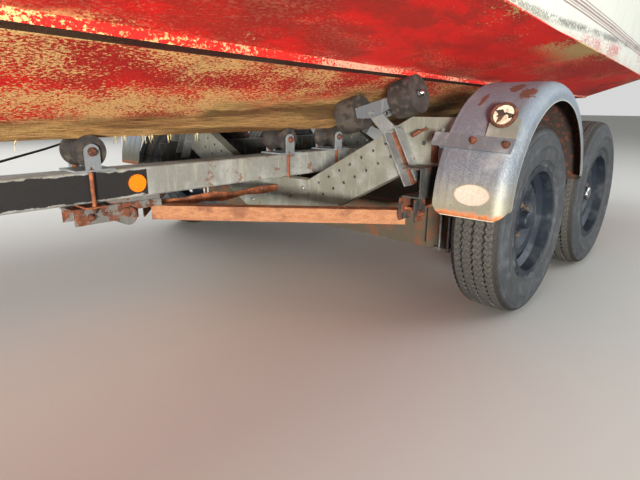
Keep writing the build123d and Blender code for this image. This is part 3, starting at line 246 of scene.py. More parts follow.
def patches_group():
    """Ragged patches: a fine grain whose cover comes and goes in larger areas."""
    group, t, given, out = new_group("patches", [
        ("Place", "vector", None), ("Grain", "value", 60.0), ("Area", "value", 4.0),
        ("Cover", "value", 0.5), ("Unevenness", "value", 0.6), ("Softness", "value", 0.05),
    ], [("Mask", "value"), ("Height", "value")])
    fine = t.noise(given["Place"], given["Grain"], 4.0, 0.62)
    wide = t.noise(given["Place"], given["Area"], 3.0, 0.55)
    drift = t.times(t.minus(wide, 0.5), given["Unevenness"])
    level = t.plus(fine, drift)
    edge = t.minus(1.0, given["Cover"])
    low = t.minus(edge, given["Softness"])
    high = t.plus(edge, given["Softness"])
    t.feed(out["Mask"], t.step(level, low, high))
    t.feed(out["Height"], fine)
    return group


def rust_group():
    """Rust: brown to orange, rough and pitted."""
    group, t, given, out = new_group("rust", [
        ("Place", "vector", None), ("Size", "value", 30.0), ("Orange", "value", 0.5),
    ], [("Color", "colour"), ("Roughness", "value"), ("Height", "value")])
    wide = t.noise(given["Place"], given["Size"], 5.0, 0.65)
    fine_size = t.times(given["Size"], 7.0)
    fine = t.noise(given["Place"], fine_size, 4.0, 0.7)
    tone = t.plus(wide, t.minus(given["Orange"], 0.5))
    dark = t.mix(t.step(tone, 0.3, 0.5), (54, 31, 22), (102, 56, 36))
    light = t.mix(t.step(tone, 0.5, 0.72), dark, (154, 90, 52))
    t.feed(out["Color"], t.mix(t.times(t.step(fine, 0.52, 0.72), 0.4), light, (176, 118, 76)))
    t.feed(out["Roughness"], t.blend(fine, 0.78, 0.95))
    t.feed(out["Height"], t.plus(fine, wide))
    return group


ZINC_TINT = (140, 147, 152)


def zinc_group():
    """Weathered galvanising: soft spangle, white bloom and faint runs down the face."""
    group, t, given, out = new_group("zinc", [
        ("Place", "vector", None), ("Bloom", "value", 0.5), ("Tint", "colour", colour(*ZINC_TINT)),
    ], [("Color", "colour"), ("Roughness", "value"), ("Height", "value")])
    cells = t.add("TexVoronoi", {"feature": "F1"}, Vector=given["Place"], Scale=130.0)
    cell = t.add("SeparateColor", {}, Color=cells.outputs["Color"]).outputs[0]
    cloud = t.noise(given["Place"], 9.0, 6.0, 0.6)
    runs = t.noise(t.scaled(given["Place"], 1.0, 1.0, 0.12), 48.0, 4.0, 0.6)
    fine = t.noise(given["Place"], 420.0, 3.0, 0.7)
    spangled = t.mix(t.times(cell, 0.3), given["Tint"], (112, 118, 124))
    bloom = t.step(t.plus(cloud, t.minus(given["Bloom"], 0.5)), 0.42, 0.66)
    bloomed = t.mix(t.times(bloom, 0.55), spangled, (186, 190, 190))
    streaked = t.mix(t.times(t.step(runs, 0.52, 0.70), 0.22), bloomed, (196, 195, 186))
    grimed = t.mix(t.times(t.step(fine, 0.56, 0.74), 0.35), streaked, (96, 96, 92))
    t.feed(out["Color"], grimed)
    t.feed(out["Roughness"], t.blend(cloud, 0.42, 0.72))
    t.feed(out["Height"], t.plus(fine, t.times(cell, 0.4)))
    return group


PATCHES = patches_group()
RUST = rust_group()
ZINC = zinc_group()


def patches(t, place, grain, area, cover, swing, soft):
    """Outputs of the patches group: grains that cover more or less of a surface from area to area."""
    return t.group(
        PATCHES, Place=place, Grain=grain, Area=area, Cover=cover, Unevenness=swing, Softness=soft)


def speckle(t, place, grain, area, cover, swing, soft=0.045):
    """Mask of such patches."""
    return patches(t, place, grain, area, cover, swing, soft)["Mask"]


def material(name, build):
    """Material whose build(tree) returns what feeds the Principled shader's sockets."""
    made = bpy.data.materials.new(name)
    made.use_nodes = True
    tree = Tree(made.node_tree)
    shader = made.node_tree.nodes["Principled BSDF"]
    for socket, value in build(tree).items():
        tree.feed(shader.inputs[socket], value)
    return made


# Colours of the hull, judged from the photograph

RED_PAINT = (222, 22, 14)
DEEP_RED = (184, 24, 18)
STRAW = (240, 194, 126)
GRIME = (78, 36, 18)
OCHRE = (142, 106, 48)
OLIVE = (70, 54, 26)
PINK_WHITE = (222, 176, 148)
TOPSIDE = (206, 211, 203)
MAROON = (104, 26, 38)
STRAKE_W = 0.055

# Along the hull: x, height and half width of the chine, half width of the strake.
CHINE = [
    (-2.0, 0.887, 0.974, 0.603), (-1.0, 0.902, 1.036, 0.603), (0.0, 0.937, 1.056, 0.603),
    (1.0, 1.003, 1.036, 0.600), (1.8, 1.088, 0.962, 0.562), (2.6, 1.190, 0.800, 0.446),
    (3.3, 1.296, 0.560, 0.290), (3.85, 1.410, 0.292, 0.136), (4.15, 1.566, 0.100, 0.040),
    (4.29, 1.778, 0.022, 0.008),
]
CHINE_HEIGHT, CHINE_HALF_WIDTH, STRAKE_HALF_WIDTH = 1, 2, 3


def curve_along(t, x, column, scale):
    """Value of a CHINE column at x, read from a ramp."""
    low, high = CHINE[0][0] + FRONT_AXLE, CHINE[-1][0] + FRONT_AXLE

    def share(row):
        return (row[0] + FRONT_AXLE - low) / (high - low)

    ramp = t.add("ValToRGB", {}, Fac=t.math("DIVIDE", t.minus(x, low), high - low))
    marks = ramp.color_ramp.elements
    marks[0].position, marks[-1].position = 0.0, 1.0
    for row in CHINE[1:-1]:
        marks.new(share(row))
    for mark in marks:
        nearest = min(CHINE, key=lambda row: abs(share(row) - mark.position))
        mark.color = (nearest[column] / scale,) * 3 + (1,)
    value = t.add("SeparateColor", {}, Color=ramp.outputs[0]).outputs[0]
    return t.times(value, scale)


def hull_paint(t):
    """Worn red below the chine, inside and outside the strake, and white topsides above it."""
    place = t.place()
    x, y, z = t.xyz(place)
    facing = t.facing()
    side = t.size_of(y)
    over = t.minus(z, curve_along(t, x, CHINE_HEIGHT, 2.0))
    strake = curve_along(t, x, STRAKE_HALF_WIDTH, 1.0)
    chine = curve_along(t, x, CHINE_HALF_WIDTH, 1.2)
    grainy = t.scaled(place, 0.7, 1.0, 1.0)
    wobble = t.minus(t.noise(grainy, 7.0, 5.0), 0.5)
    soft = t.noise(t.scaled(place, 0.5, 1.0, 1.0), 3.4, 4.0)
    red = t.mix(t.step(soft, 0.44, 0.60), RED_PAINT, DEEP_RED)
    from_strake = t.minus(side, strake)
    lip = t.step(t.size_of(t.minus(from_strake, STRAKE_W / 2)), 0.045, 0.040)
    lip_face = t.times(t.step(t.size_of(facing[1]), 0.6, 0.8), lip)
    # Painted shade: the strake's flat underside, facing down, is darkened to a deep brown.
    strake_underside_shade = t.times(t.step(facing[2], -0.972, -0.985), lip)
    inner = inner_paint(t, place, x, side, red, wobble, strake)
    outer = outer_paint(t, place, x, red, wobble, from_strake, t.minus(chine, side), lip_face)
    bottom = t.mix(t.step(from_strake, -0.002, 0.002), inner, outer)
    bottom = t.mix(t.times(strake_underside_shade, 0.92), bottom, (50, 24, 16))
    is_top = t.step(over, 0.0005, 0.0025)
    paint = t.mix(is_top, bottom, topside_paint(t, place, x, over, grainy))
    pits = t.noise(place, 150.0, 4.0, 0.65)
    pits = t.bump(t.times(pits, t.minus(1.0, is_top)), 0.6, 0.004)
    return {"Base Color": paint, "Roughness": t.blend(is_top, 0.72, 0.34), "Normal": pits}


def inner_paint(t, place, x, side, red, wobble, strake):
    """Between keel and strake: red with worn straw grains, streaky ochre and olive along the keel."""
    grainy = t.scaled(place, 0.75, 1.0, 1.0)
    worn = speckle(t, grainy, 150.0, 6.0, 0.49, 0.62)
    skin = t.mix(t.times(worn, 0.92), red, STRAW)
    skin = t.mix(t.times(speckle(t, grainy, 210.0, 9.0, 0.40, 0.4), 0.62), skin, GRIME)
    fibres = t.noise(t.scaled(place, 0.06, 1.0, 1.0), 260.0, 4.0, 0.7)
    patch = t.noise(t.scaled(place, 0.25, 1.0, 1.0), 7.0, 3.0)
    yellow = t.mix(t.step(fibres, 0.40, 0.60), OCHRE, STRAW)
    green = t.mix(t.step(fibres, 0.42, 0.62), OLIVE, OCHRE)
    keel = t.mix(t.step(patch, 0.42, 0.62), yellow, green)
    keel = t.mix(t.times(t.step(fibres, 0.44, 0.34), 0.7), keel, GRIME)
    # The ochre and olive band along the keel is worn paint; its widening aft is painted shade on the
    # after part of the bottom.
    aft = t.step(x, FRONT_AXLE + 1.0, FRONT_AXLE + 0.25)
    keel_band_and_shade_reach = t.plus(t.times(aft, 0.42), 0.34)
    across = t.plus(t.math("DIVIDE", side, strake), t.times(wobble, 0.6))
    return t.mix(t.times(t.step(t.minus(across, keel_band_and_shade_reach), 0.12, -0.12), 0.9), skin, keel)


def outer_paint(t, place, x, red, wobble, from_strake, from_chine, lip_face):
    """Outboard of the strake: strong red with slanting scuffs, worn along the strake's edge."""
    grainy = t.scaled(place, 0.7, 1.0, 1.0)
    slant = t.scaled(place, 0.45, 1.0, 0.45)
    scuff = speckle(t, slant, 170.0, 3.4, 0.40, 1.1, 0.06)
    skin = t.mix(t.times(scuff, 0.7), red, (214, 112, 84))
    dull = speckle(t, slant, 14.0, 2.0, 0.42, 0.7, 0.12)
    skin = t.mix(t.times(dull, 0.55), skin, (122, 38, 24))
    away = t.minus(from_strake, STRAKE_W)
    near_lip = t.step(t.plus(away, t.times(wobble, 0.14)), 0.036, 0.004)
    rubbed = t.times(near_lip, speckle(t, grainy, 150.0, 5.0, 0.47, 1.1))
    aft = t.step(x, FRONT_AXLE + 1.25, FRONT_AXLE + 0.55)
    pale = t.mix(aft, STRAW, PINK_WHITE)
    skin = t.mix(rubbed, skin, pale)
    fore = t.step(x, FRONT_AXLE + 0.9, FRONT_AXLE + 1.5)
    lip_worn = speckle(t, grainy, 150.0, 4.0, 0.50, 1.0)
    lip_skin = t.mix(t.times(lip_worn, t.blend(fore, 0.75, 0.95)), red, t.mix(fore, pale, STRAW))
    lip_skin = t.mix(t.times(speckle(t, grainy, 210.0, 9.0, 0.42, 0.4), 0.6), lip_skin, GRIME)
    skin = t.mix(lip_face, skin, lip_skin)
    bare = speckle(t, grainy, 110.0, 3.0, 0.40, 1.3)
    return t.mix(t.times(t.step(from_chine, 0.16, 0.03), bare), skin, (190, 158, 104))


# Maroon lines on the topsides: height over the chine, half width.
LINES = ((0.084, 0.0026), (0.0925, 0.0016), (0.101, 0.0036), (0.111, 0.0028), (0.121, 0.0018))


def topside_paint(t, place, x, over, grainy):
    """Chalky white with five thin maroon lines, and old scum above the chine."""
    streaks = t.noise(t.scaled(place, 1.0, 1.0, 0.12), 30.0, 5.0)
    white = t.mix(t.times(t.step(streaks, 0.46, 0.7), 0.35), TOPSIDE, (178, 186, 176))
    lines = 0.0
    for height, half in LINES:
        off = t.size_of(t.minus(over, height))
        lines = t.larger(lines, t.step(off, half + 0.0006, half - 0.0006))
    chips = speckle(t, place, 160.0, 9.0, 0.62, 0.5, 0.03)
    kept = t.minus(1.0, t.times(chips, 0.25))
    white = t.mix(t.times(lines, kept), white, MAROON)
    rise = t.times(t.minus(FRONT_AXLE + 0.249, x), 0.0587)
    below = t.minus(t.plus(rise, 0.012), over)
    flecks = speckle(t, grainy, 120.0, 6.0, 0.46, 0.7, 0.04)
    pink = t.times(t.step(below, 0.002, 0.03), flecks)
    white = t.mix(t.times(pink, 0.85), white, (182, 74, 82))
    scum = speckle(t, grainy, 190.0, 8.0, 0.50, 0.6, 0.03)
    line = t.times(t.step(t.size_of(below), 0.018, 0.004), scum)
    white = t.mix(t.times(line, 0.8), white, (70, 68, 62))
    return t.mix(t.times(t.step(over, 0.03, 0.0), 0.4), white, (176, 168, 148))


def chalky(base, stain):
    """Gelcoat gone dull, with soft stains."""
    def build(t):
        place = t.place()
        marks = speckle(t, place, 18.0, 3.0, 0.42, 0.6, 0.16)
        fine = t.noise(place, 500.0, 2.0)
        return {
            "Base Color": t.mix(t.times(marks, 0.3), base, stain),
            "Roughness": t.blend(marks, 0.3, 0.48),
            "Normal": t.bump(fine, 0.05, 0.001),
        }
    return build


def oxidised(t, mask, skin, rust, metal, strength, depth):
    """Zinc with rust where the mask is 1."""
    return {
        "Base Color": t.mix(mask, skin["Color"], rust["Color"]),
        "Metallic": t.blend(mask, metal, 0.0),
        "Roughness": t.blend(mask, skin["Roughness"], rust["Roughness"]),
        "Normal": t.bump(t.blend(mask, skin["Height"], rust["Height"]), strength, depth),
    }


def galvanised(bloom=0.5, tint=ZINC_TINT, rust=0.0):
    """Zinc with rusty patches over this share of it."""
    def build(t):
        place = t.place()
        skin = t.group(ZINC, Place=place, Bloom=bloom, Tint=tint)
        rusty = t.group(RUST, Place=place, Size=34.0, Orange=0.45)
        mask = speckle(t, place, 22.0, 5.0, rust, 0.5, 0.05)
        return oxidised(t, mask, skin, rusty, 0.55, 0.25, 0.0012)
    return build


def rusted(orange, size=30.0, left_zinc=0.0):
    """Rust with patches of zinc left on this share of it."""
    def build(t):
        place = t.place()
        rusty = t.group(RUST, Place=place, Size=size, Orange=orange)
        skin = t.group(ZINC, Place=place, Bloom=0.5, Tint=ZINC_TINT)
        mask = speckle(t, place, 30.0, 6.0, left_zinc, 0.6, 0.04)
        return {
            "Base Color": t.mix(mask, rusty["Color"], skin["Color"]),
            "Metallic": t.blend(mask, 0.0, 0.5),
            "Roughness": t.blend(mask, rusty["Roughness"], skin["Roughness"]),
            "Normal": t.bump(rusty["Height"], 0.5, 0.002),
        }
    return build


def plain(base, rough, worn=None, cover=0.4, grain=40.0, metal=0.0):
    """Painted, moulded or plated surface with scuffs of a second colour."""
    worn = worn or base

    def build(t):
        place = t.place()
        scuffs = patches(t, place, grain, 6.0, cover, 0.6, 0.1)
        fine = t.noise(place, 600.0, 2.0)
        return {
            "Base Color": t.mix(t.times(scuffs["Mask"], 0.7), base, worn),
            "Metallic": metal,
            "Roughness": t.blend(scuffs["Mask"], rough, min(1.0, rough + 0.2)),
            "Normal": t.bump(t.plus(fine, scuffs["Height"]), 0.12, 0.0008),
        }
    return build


# Black paint on the spine: where it ends, and its ragged lower and upper edge.
PAINT_END = FRONT_AXLE + 0.8655
PAINT_LOW, PAINT_HIGH = 0.406, 0.494


def spine_look(t):
    """Galvanised beam with the remains of black paint on its front part."""
    place = t.place()
    x, y, z = t.xyz(place)
    skin = t.group(ZINC, Place=place, Bloom=0.50, Tint=(144, 145, 138))
    runs = t.noise(t.scaled(place, 1.0, 1.0, 0.12), 36.0, 3.0)
    zinc = t.mix(t.times(t.step(runs, 0.52, 0.64), 0.4), skin["Color"], (186, 184, 170))
    ragged = patches(t, t.scaled(place, 0.5, 1.0, 1.0), 40.0, 7.0, 0.80, 0.7, 0.03)
    torn = t.plus(z, t.times(t.minus(ragged["Height"], 0.5), 0.03))
    low_edge = t.step(torn, PAINT_LOW, PAINT_LOW + 0.003)
    edge = t.times(low_edge, t.step(torn, PAINT_HIGH, PAINT_HIGH - 0.003))
    ahead = t.step(x, PAINT_END, PAINT_END + 0.002)
    black = t.times(t.times(ahead, edge), ragged["Mask"])
    stains = speckle(t, place, 30.0, 6.0, 0.34, 0.6, 0.04)
    zinc = t.mix(t.times(stains, 0.7), zinc, (122, 78, 50))
    return {
        "Base Color": t.mix(black, zinc, t.mix(skin["Height"], (15, 15, 16), (30, 29, 28))),
        "Metallic": t.blend(black, 0.4, 0.0),
        "Roughness": t.blend(black, skin["Roughness"], 0.55),
        "Normal": t.bump(t.plus(skin["Height"], t.times(black, 0.8)), 0.3, 0.0014),
    }


# Bare rusty patches on the port fender: angle in degrees, y, half length round the arc, half width.
RUST_PATCHES = ((58.7, 0.932, 0.034, 0.010), (70.5, 1.003, 0.038, 0.021), (64.3, 1.052, 0.036, 0.023))


def fender_look(t):
    """Blue-grey galvanised sheet, rusty along its lower edge and in bare patches, brown inside."""
    place = t.place()
    x, y, z = t.xyz(place)
    ahead = t.minus(x, FRONT_AXLE)
    above = t.minus(z, FENDER_Z)
    angle = t.math("ARCTAN2", above, ahead)
    skin = t.group(ZINC, Place=place, Bloom=0.40, Tint=(112, 122, 134))
    rust = t.group(RUST, Place=place, Size=40.0, Orange=0.6)
    rough_edge = t.noise(place, 52.0, 4.0, 0.7)
    jag = t.minus(rough_edge, 0.5)
    salt = t.noise(place, 330.0, 2.0, 0.6)
    crease_shade = t.noise(t.vector(0.0, t.times(y, 46.0), angle), 1.0, 2.0)
    bare = 0.0
    for degrees, middle, long, wide in RUST_PATCHES:
        along = t.math("DIVIDE", t.minus(angle, math.radians(degrees)), long / FENDER_R)
        across = t.math("DIVIDE", t.minus(y, middle), wide)
        far = t.far(along, across)
        bare = t.larger(bare, t.step(t.plus(far, t.times(jag, 2.2)), 1.0, 0.93))
    band = t.plus(above, t.times(jag, 0.04))
    low_rust = t.step(band, 0.022, 0.006)
    spots = speckle(t, place, 70.0, 9.0, 0.29, 0.3, 0.02)
    tan = t.step(t.plus(above, t.times(jag, 0.08)), 0.150, 0.015)
    zinc = t.mix(t.times(t.step(salt, 0.50, 0.62), 0.45), skin["Color"], (176, 182, 186))
    # Painted shade: dark blue-grey bands running round the arc stand in for the shade of creases in the
    # sheet.
    zinc = t.mix(t.times(t.step(crease_shade, 0.56, 0.66), 0.32), zinc, (70, 76, 82))
    # Painted light: the upper part of the fender is tinted a paler blue-grey, as if lit by a blue sky
    # from above.
    crown = t.step(t.plus(above, t.times(jag, 0.12)), 0.17, 0.34)
    zinc = t.mix(t.times(crown, 0.5), zinc, (132, 144, 158))
    zinc = t.mix(t.times(tan, 0.62), zinc, (156, 148, 114))
    zinc = t.mix(t.times(spots, 0.45), zinc, (76, 58, 46))
    low_colour = t.mix(t.step(band, 0.016, -0.004), (192, 112, 60), rust["Color"])
    low_colour = t.mix(t.step(above, 0.0035, 0.0015), low_colour, (176, 166, 150))
    edge = t.far(ahead, above)
    # Painted highlight: a thin pale ring about 56 mm inside the fender's outer radius.
    rim_highlight = t.step(edge, FENDER_R - 0.0555, FENDER_R - 0.0575)
    zinc = t.mix(t.times(rim_highlight, 0.7), zinc, (190, 190, 182))
    shown_rust = t.mix(low_rust, t.mix(bare, zinc, (96, 54, 40)), low_colour)
    normal = t.facing()
    outward = t.plus(t.times(normal[0], ahead), t.times(normal[2], above))
    skirt_in = t.times(t.times(normal[1], t.math("SIGN", y)), -1.0)
    inside = t.larger(t.step(outward, -0.05, -0.12), t.step(skirt_in, 0.4, 0.6))
    brown = t.mix(t.step(rough_edge, 0.5, 0.66), (46, 38, 34), (98, 52, 34))
    oxide = t.larger(t.larger(bare, low_rust), inside)
    return {
        "Base Color": t.mix(inside, shown_rust, brown),
        "Metallic": t.blend(oxide, 0.55, 0.0),
        "Roughness": t.blend(oxide, skin["Roughness"], 0.85),
        "Normal": t.bump(t.blend(oxide, skin["Height"], rust["Height"]), 0.3, 0.0015),
    }


def wheel_distance(t, place):
    """Distance from the nearer axle line, worked out in the wheels' own plane."""
    x, y, z = t.xyz(place)
    nearest = 9.0
    for axle_x in (0.0, REAR_AXLE):
        flat = t.vector(t.minus(x, axle_x + FRONT_AXLE), 0.0, t.minus(z, TYRE_R))
        length = t.add("VectorMath", {"operation": "LENGTH"}, _0=flat).outputs["Value"]
        nearest = t.math("MINIMUM", nearest, length)
    return nearest


PLATE_Y = 1.0015
PLATE_HALF_WIDTH = 0.0585


def sticker_look(t):
    """Weathered pale film, greyer and dirtier towards its oval edge."""
    place = t.place()
    _, y, z = t.xyz(place)
    wide = t.math("DIVIDE", t.minus(y, PLATE_Y), PLATE_HALF_WIDTH)
    high = t.math("DIVIDE", t.minus(z, FENDER_Z + 0.068), 0.0325)
    far = t.far(wide, high)
    dirt = t.noise(place, 120.0, 5.0, 0.7)
    worn = t.step(t.plus(far, t.times(t.minus(dirt, 0.5), 0.3)), 0.84, 0.96)
    film = t.mix(t.step(dirt, 0.42, 0.64), (176, 165, 152), (194, 180, 164))
    film = t.mix(worn, film, (130, 122, 108))
    return {"Base Color": film, "Roughness": 0.5, "Normal": t.bump(dirt, 0.1, 0.0004)}


def tyre_look(t):
    """Weathered rubber: grey sidewall with fine rings, brown dust on the tread."""
    place = t.place()
    radius = wheel_distance(t, place)
    cloud = t.noise(place, 24.0, 5.0, 0.65)
    fine = t.noise(place, 260.0, 3.0, 0.7)
    wall = t.mix(t.step(cloud, 0.44, 0.70), (44, 48, 53), (66, 71, 76))
    rings = t.math("SINE", t.times(radius, 2400.0))
    ringed = t.times(t.step(rings, 0.86, 0.98), t.step(radius, 0.27, 0.24))
    wall = t.mix(t.times(ringed, 0.3), wall, (88, 89, 88))
    x, y, z = t.xyz(place)
    tread = t.mix(t.step(fine, 0.40, 0.60), (46, 46, 45), (80, 77, 72))
    turned = t.times(radius, 0.0)
    for axle_x in (0.0, REAR_AXLE):
        own = t.math("LESS_THAN", t.size_of(t.minus(x, axle_x + FRONT_AXLE)), 0.36)
        turn = t.math("ARCTAN2", t.minus(z, TYRE_R), t.minus(x, axle_x + FRONT_AXLE))
        turned = t.plus(turned, t.times(own, turn))
    sway = t.math("SINE", t.times(y, 420.0))
    cuts = t.math("SINE", t.plus(t.times(turned, 96.0), t.times(sway, 1.3)))
    # Painted shade: dark lines across the shoulders stand in for the shade in sipes that the mesh does
    # not cut.
    sipe_shade = t.times(t.step(cuts, 0.50, 0.80), t.step(radius, 0.306, 0.310))
    tread = t.mix(t.times(sipe_shade, 0.7), tread, (32, 30, 29))
    # Painted shade: near black in the grooves and shoulder notches, below 0.3165 m from the axle.
    tread = t.mix(t.step(radius, 0.3205, 0.3165), tread, (24, 22, 21))
    skin = t.mix(t.step(radius, 0.300, 0.313), wall, tread)
    skin = t.mix(t.times(t.step(fine, 0.56, 0.70), 0.26), skin, (104, 99, 90))
    return {
        "Base Color": skin,
        "Roughness": t.blend(cloud, 0.62, 0.9),
        "Normal": t.bump(t.plus(fine, t.times(ringed, 0.4)), 0.28, 0.0012),
    }


def rim_look(t):
    """Dark blue-grey wheel paint, dusty, worn bright and yellowish along the flange, where the bright
    band is partly a painted highlight.
    """
    place = t.place()
    radius = wheel_distance(t, place)
    dust = t.noise(place, 15.0, 6.0, 0.6)
    fine = t.noise(place, 300.0, 2.0)
    paint = t.mix(t.step(dust, 0.46, 0.74), (34, 41, 52), (70, 76, 80))
    edge = patches(t, place, 26.0, 8.0, 0.44, 0.5, 0.06)
    # Bright band along the flange: partly bare worn metal, partly a painted highlight.
    worn = t.times(t.step(radius, 0.1895, 0.1925), edge["Mask"])
    paint = t.mix(worn, paint, t.mix(t.step(dust, 0.45, 0.55), (112, 110, 98), (126, 130, 132)))
    specks = speckle(t, place, 90.0, 9.0, 0.30, 0.3, 0.02)
    paint = t.mix(t.times(specks, 0.6), paint, (98, 62, 42))
    return {
        "Base Color": paint,
        "Metallic": t.blend(worn, 0.25, 0.6),
        "Roughness": t.blend(dust, 0.34, 0.6),
        "Normal": t.bump(t.plus(fine, edge["Height"]), 0.12, 0.001),
    }


def strut_look(t):
    """Sun-bleached rust: tan, with long darker streaks and fine pits."""
    place = t.place()
    grain = t.noise(t.scaled(place, 0.30, 0.30, 1.0), 90.0, 5.0, 0.7)
    wide = t.noise(place, 10.0, 5.0, 0.6)
    fine = t.noise(place, 330.0, 3.0, 0.7)
    tan = t.mix(t.step(grain, 0.38, 0.60), (130, 84, 56), (150, 104, 72))
    tan = t.mix(t.times(t.step(fine, 0.52, 0.66), 0.45), tan, (184, 140, 102))
    tan = t.mix(t.times(t.step(wide, 0.54, 0.68), 0.6), tan, (88, 50, 33))
    pits = t.bump(t.plus(fine, grain), 0.4, 0.0018)
    return {"Base Color": tan, "Roughness": t.blend(fine, 0.8, 0.95), "Normal": pits}


def post_look(t):
    """Pale galvanised flanges with a rusty web between them."""
    place = t.place()
    x, y, z = t.xyz(place)
    skin = t.group(ZINC, Place=place, Bloom=0.48, Tint=(134, 138, 138))
    rust = t.group(RUST, Place=place, Size=26.0, Orange=0.46)
    webs = [t.size_of(t.minus(x, FRONT_AXLE + web)) for web in (FRONT_CROSS_X, REAR_CROSS_X)]
    lengthwise = t.size_of(t.facing()[0])
    web = t.times(t.step(t.math("MINIMUM", *webs), 0.0085, 0.0070), t.step(lengthwise, 0.8, 0.9))
    flaked = speckle(t, place, 60.0, 8.0, 0.33, 0.4, 0.03)
    oxide = t.larger(web, t.times(flaked, 0.8))
    return oxidised(t, oxide, skin, rust, 0.5, 0.35, 0.0016)


def clear_glass(_):
    return {"Base Color": (206, 216, 214), "Roughness": 0.06, "Alpha": 0.34}


FINISHES = {
    "hull_paint": hull_paint,
    "gelcoat": chalky((214, 214, 206), (176, 172, 156)),
    "vinyl": plain((206, 202, 188), 0.5, (190, 184, 168), cover=0.34, grain=26.0),
    "aluminium_trim": plain((176, 180, 184), 0.32, (140, 142, 142), metal=0.9),
    "black_rubber": plain((34, 33, 32), 0.62, (66, 62, 56)),
    "stainless": plain((196, 198, 198), 0.22, (150, 146, 138), metal=1.0),
    "helm_black": plain((28, 28, 29), 0.48, (52, 51, 50)),
    "motor_paint": plain((48, 51, 56), 0.36, (86, 88, 88), metal=0.2),
    "motor_cover": plain((38, 41, 46), 0.2, (60, 62, 64), cover=0.35),
    "prop_alloy": plain((70, 72, 76), 0.38, (140, 142, 142), metal=0.6),
    "tyre_rubber": tyre_look,
    "wheel_paint": rim_look,
    "rusty_steel": rusted(0.55),
    "galvanised": galvanised(),
    "zinc_plate": galvanised(0.3, (168, 170, 170), rust=0.3),
    "roller_plastic": plain((44, 40, 38), 0.55, (78, 70, 62), cover=0.42),
    "lamp_plastic": plain((70, 70, 72), 0.5, (110, 106, 100)),
    "lamp_red": plain((150, 22, 18), 0.18, (110, 18, 16)),
    "lamp_amber": plain((232, 122, 16), 0.2, (214, 98, 12)),
    "webbing": plain((86, 88, 80), 0.85, (120, 116, 100)),
    "cable_black": plain((20, 20, 20), 0.5, (40, 38, 36)),
    "screen_glass": clear_glass,
    "old_plastic": sticker_look,
    "bolt_rust": rusted(0.40, 60.0),
    "nut_steel": plain((64, 58, 54), 0.7, (92, 72, 58), cover=0.45, grain=70.0),
    "lamp_cream": plain((206, 196, 176), 0.4, (150, 122, 88), cover=0.46, grain=90.0),
    "lamp_dark": plain((52, 40, 32), 0.7, (104, 70, 44), cover=0.45),
    "dial_face": plain((18, 19, 20), 0.12),
    "piping": plain((112, 34, 42), 0.5, (84, 28, 34)),
    "dry_weed": plain((196, 178, 128), 0.9, (150, 130, 86)),
    "post_look": post_look,
    "bar_zinc": galvanised(0.36, (112, 119, 126), rust=0.25),
    "flaky_rust": rusted(0.62, 22.0, left_zinc=0.3),
    "clamp_zinc": galvanised(0.4, (124, 124, 118), rust=0.5),
    "spine_look": spine_look,
    "fender_look": fender_look,
    "pale_zinc": galvanised(0.46, (138, 138, 124), rust=0.27),
    # Painted shade: side rails get a much darker zinc, standing in for the shade under the boat, with
    # rusty patches.
    "shaded_zinc": galvanised(0.24, (76, 76, 72), rust=0.36),
    "strut_look": strut_look,
    "axle_brown": plain((70, 62, 50), 0.8, (104, 64, 42), cover=0.4, grain=24.0),
    # Painted shade: spring hangers get the darkest zinc, standing in for the shade under the boat, with
    # rusty patches.
    "hanger_shaded_zinc": galvanised(0.3, (60, 58, 54), rust=0.5),
    "fresh_zinc": plain((150, 152, 152), 0.4, (108, 104, 96), metal=0.7),
}
MATERIALS = {name: material(name, build) for name, build in FINISHES.items()}

# Nodes whose own look differs from that of their slot.
NODE_LOOKS = {
    "spine_beam": "spine_look", "fenders": "fender_look", "crossmembers": "pale_zinc",
    # Side rails and spring hangers take zinc darkened as painted shade.
    "cross_saddles": "pale_zinc", "side_rails": "shaded_zinc", "spring_hangers": "hanger_shaded_zinc",
    "axles": "axle_brown", "wing_posts": "post_look", "struts": "strut_look",
    "fender_brackets": "bar_zinc", "wing_rockers": "bar_zinc", "marker_lamps": "pale_zinc",
    "tie_strip": "flaky_rust", "strut_clamp": "clamp_zinc",
}


def dress_nodes():
    for part in frame["record"]["subparts"]:
        node = NODES[part["node"]]
        node.data.materials.clear()
        node.data.materials.append(MATERIALS[NODE_LOOKS.get(part["node"], part["material_slot"])])


def lay_floor():
    made = bpy.data.materials.new("pale_floor")
    made.use_nodes = True
    tree = Tree(made.node_tree)
    seen = tree.add("LightPath").outputs["Is Camera Ray"]
    shader = made.node_tree.nodes["Principled BSDF"]
    tree.feed(shader.inputs["Base Color"], tree.mix(seen, (128, 128, 124), (212, 211, 207)))
    shader.inputs["Roughness"].default_value = 0.9
    bpy.ops.mesh.primitive_plane_add(size=120)
    floor = bpy.context.object
    floor.name = "floor"
    floor.data.materials.append(made)


# Mesh building

def shown(name, mesh, finish, body, smooth=35):
    """Object of a finished mesh, shaded smooth below an angle, riding on its body."""
    thing = bpy.data.objects.new(name, mesh)
    bpy.context.scene.collection.objects.link(thing)
    mesh.materials.append(MATERIALS[finish])
    mesh.shade_smooth()
    mesh.set_sharp_from_angle(angle=math.radians(smooth))
    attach(thing, body)
    return thing


def mesh_of(shape, name):
    mesh = bpy.data.meshes.new(name)
    shape.to_mesh(mesh)
    shape.free()
    return mesh


def closed(name, shape, finish, body=ROOT, smooth=35):
    """Object of a closed shape whose faces are turned outward first."""
    bmesh.ops.recalc_face_normals(shape, faces=shape.faces)
    return shown(name, mesh_of(shape, name), finish, body, smooth)


def around(count):
    """Angles of points spaced evenly round a circle."""
    return [2 * math.pi * k / count for k in range(count)]


def corner_arc(x, y, z, radius, first):
    """Places along a quarter circle that starts at this many degrees."""
    turns = [math.radians(first + 90 * k / 8) for k in range(9)]
    return [at(x + radius * math.cos(turn), y + radius * math.sin(turn), z) for turn in turns]


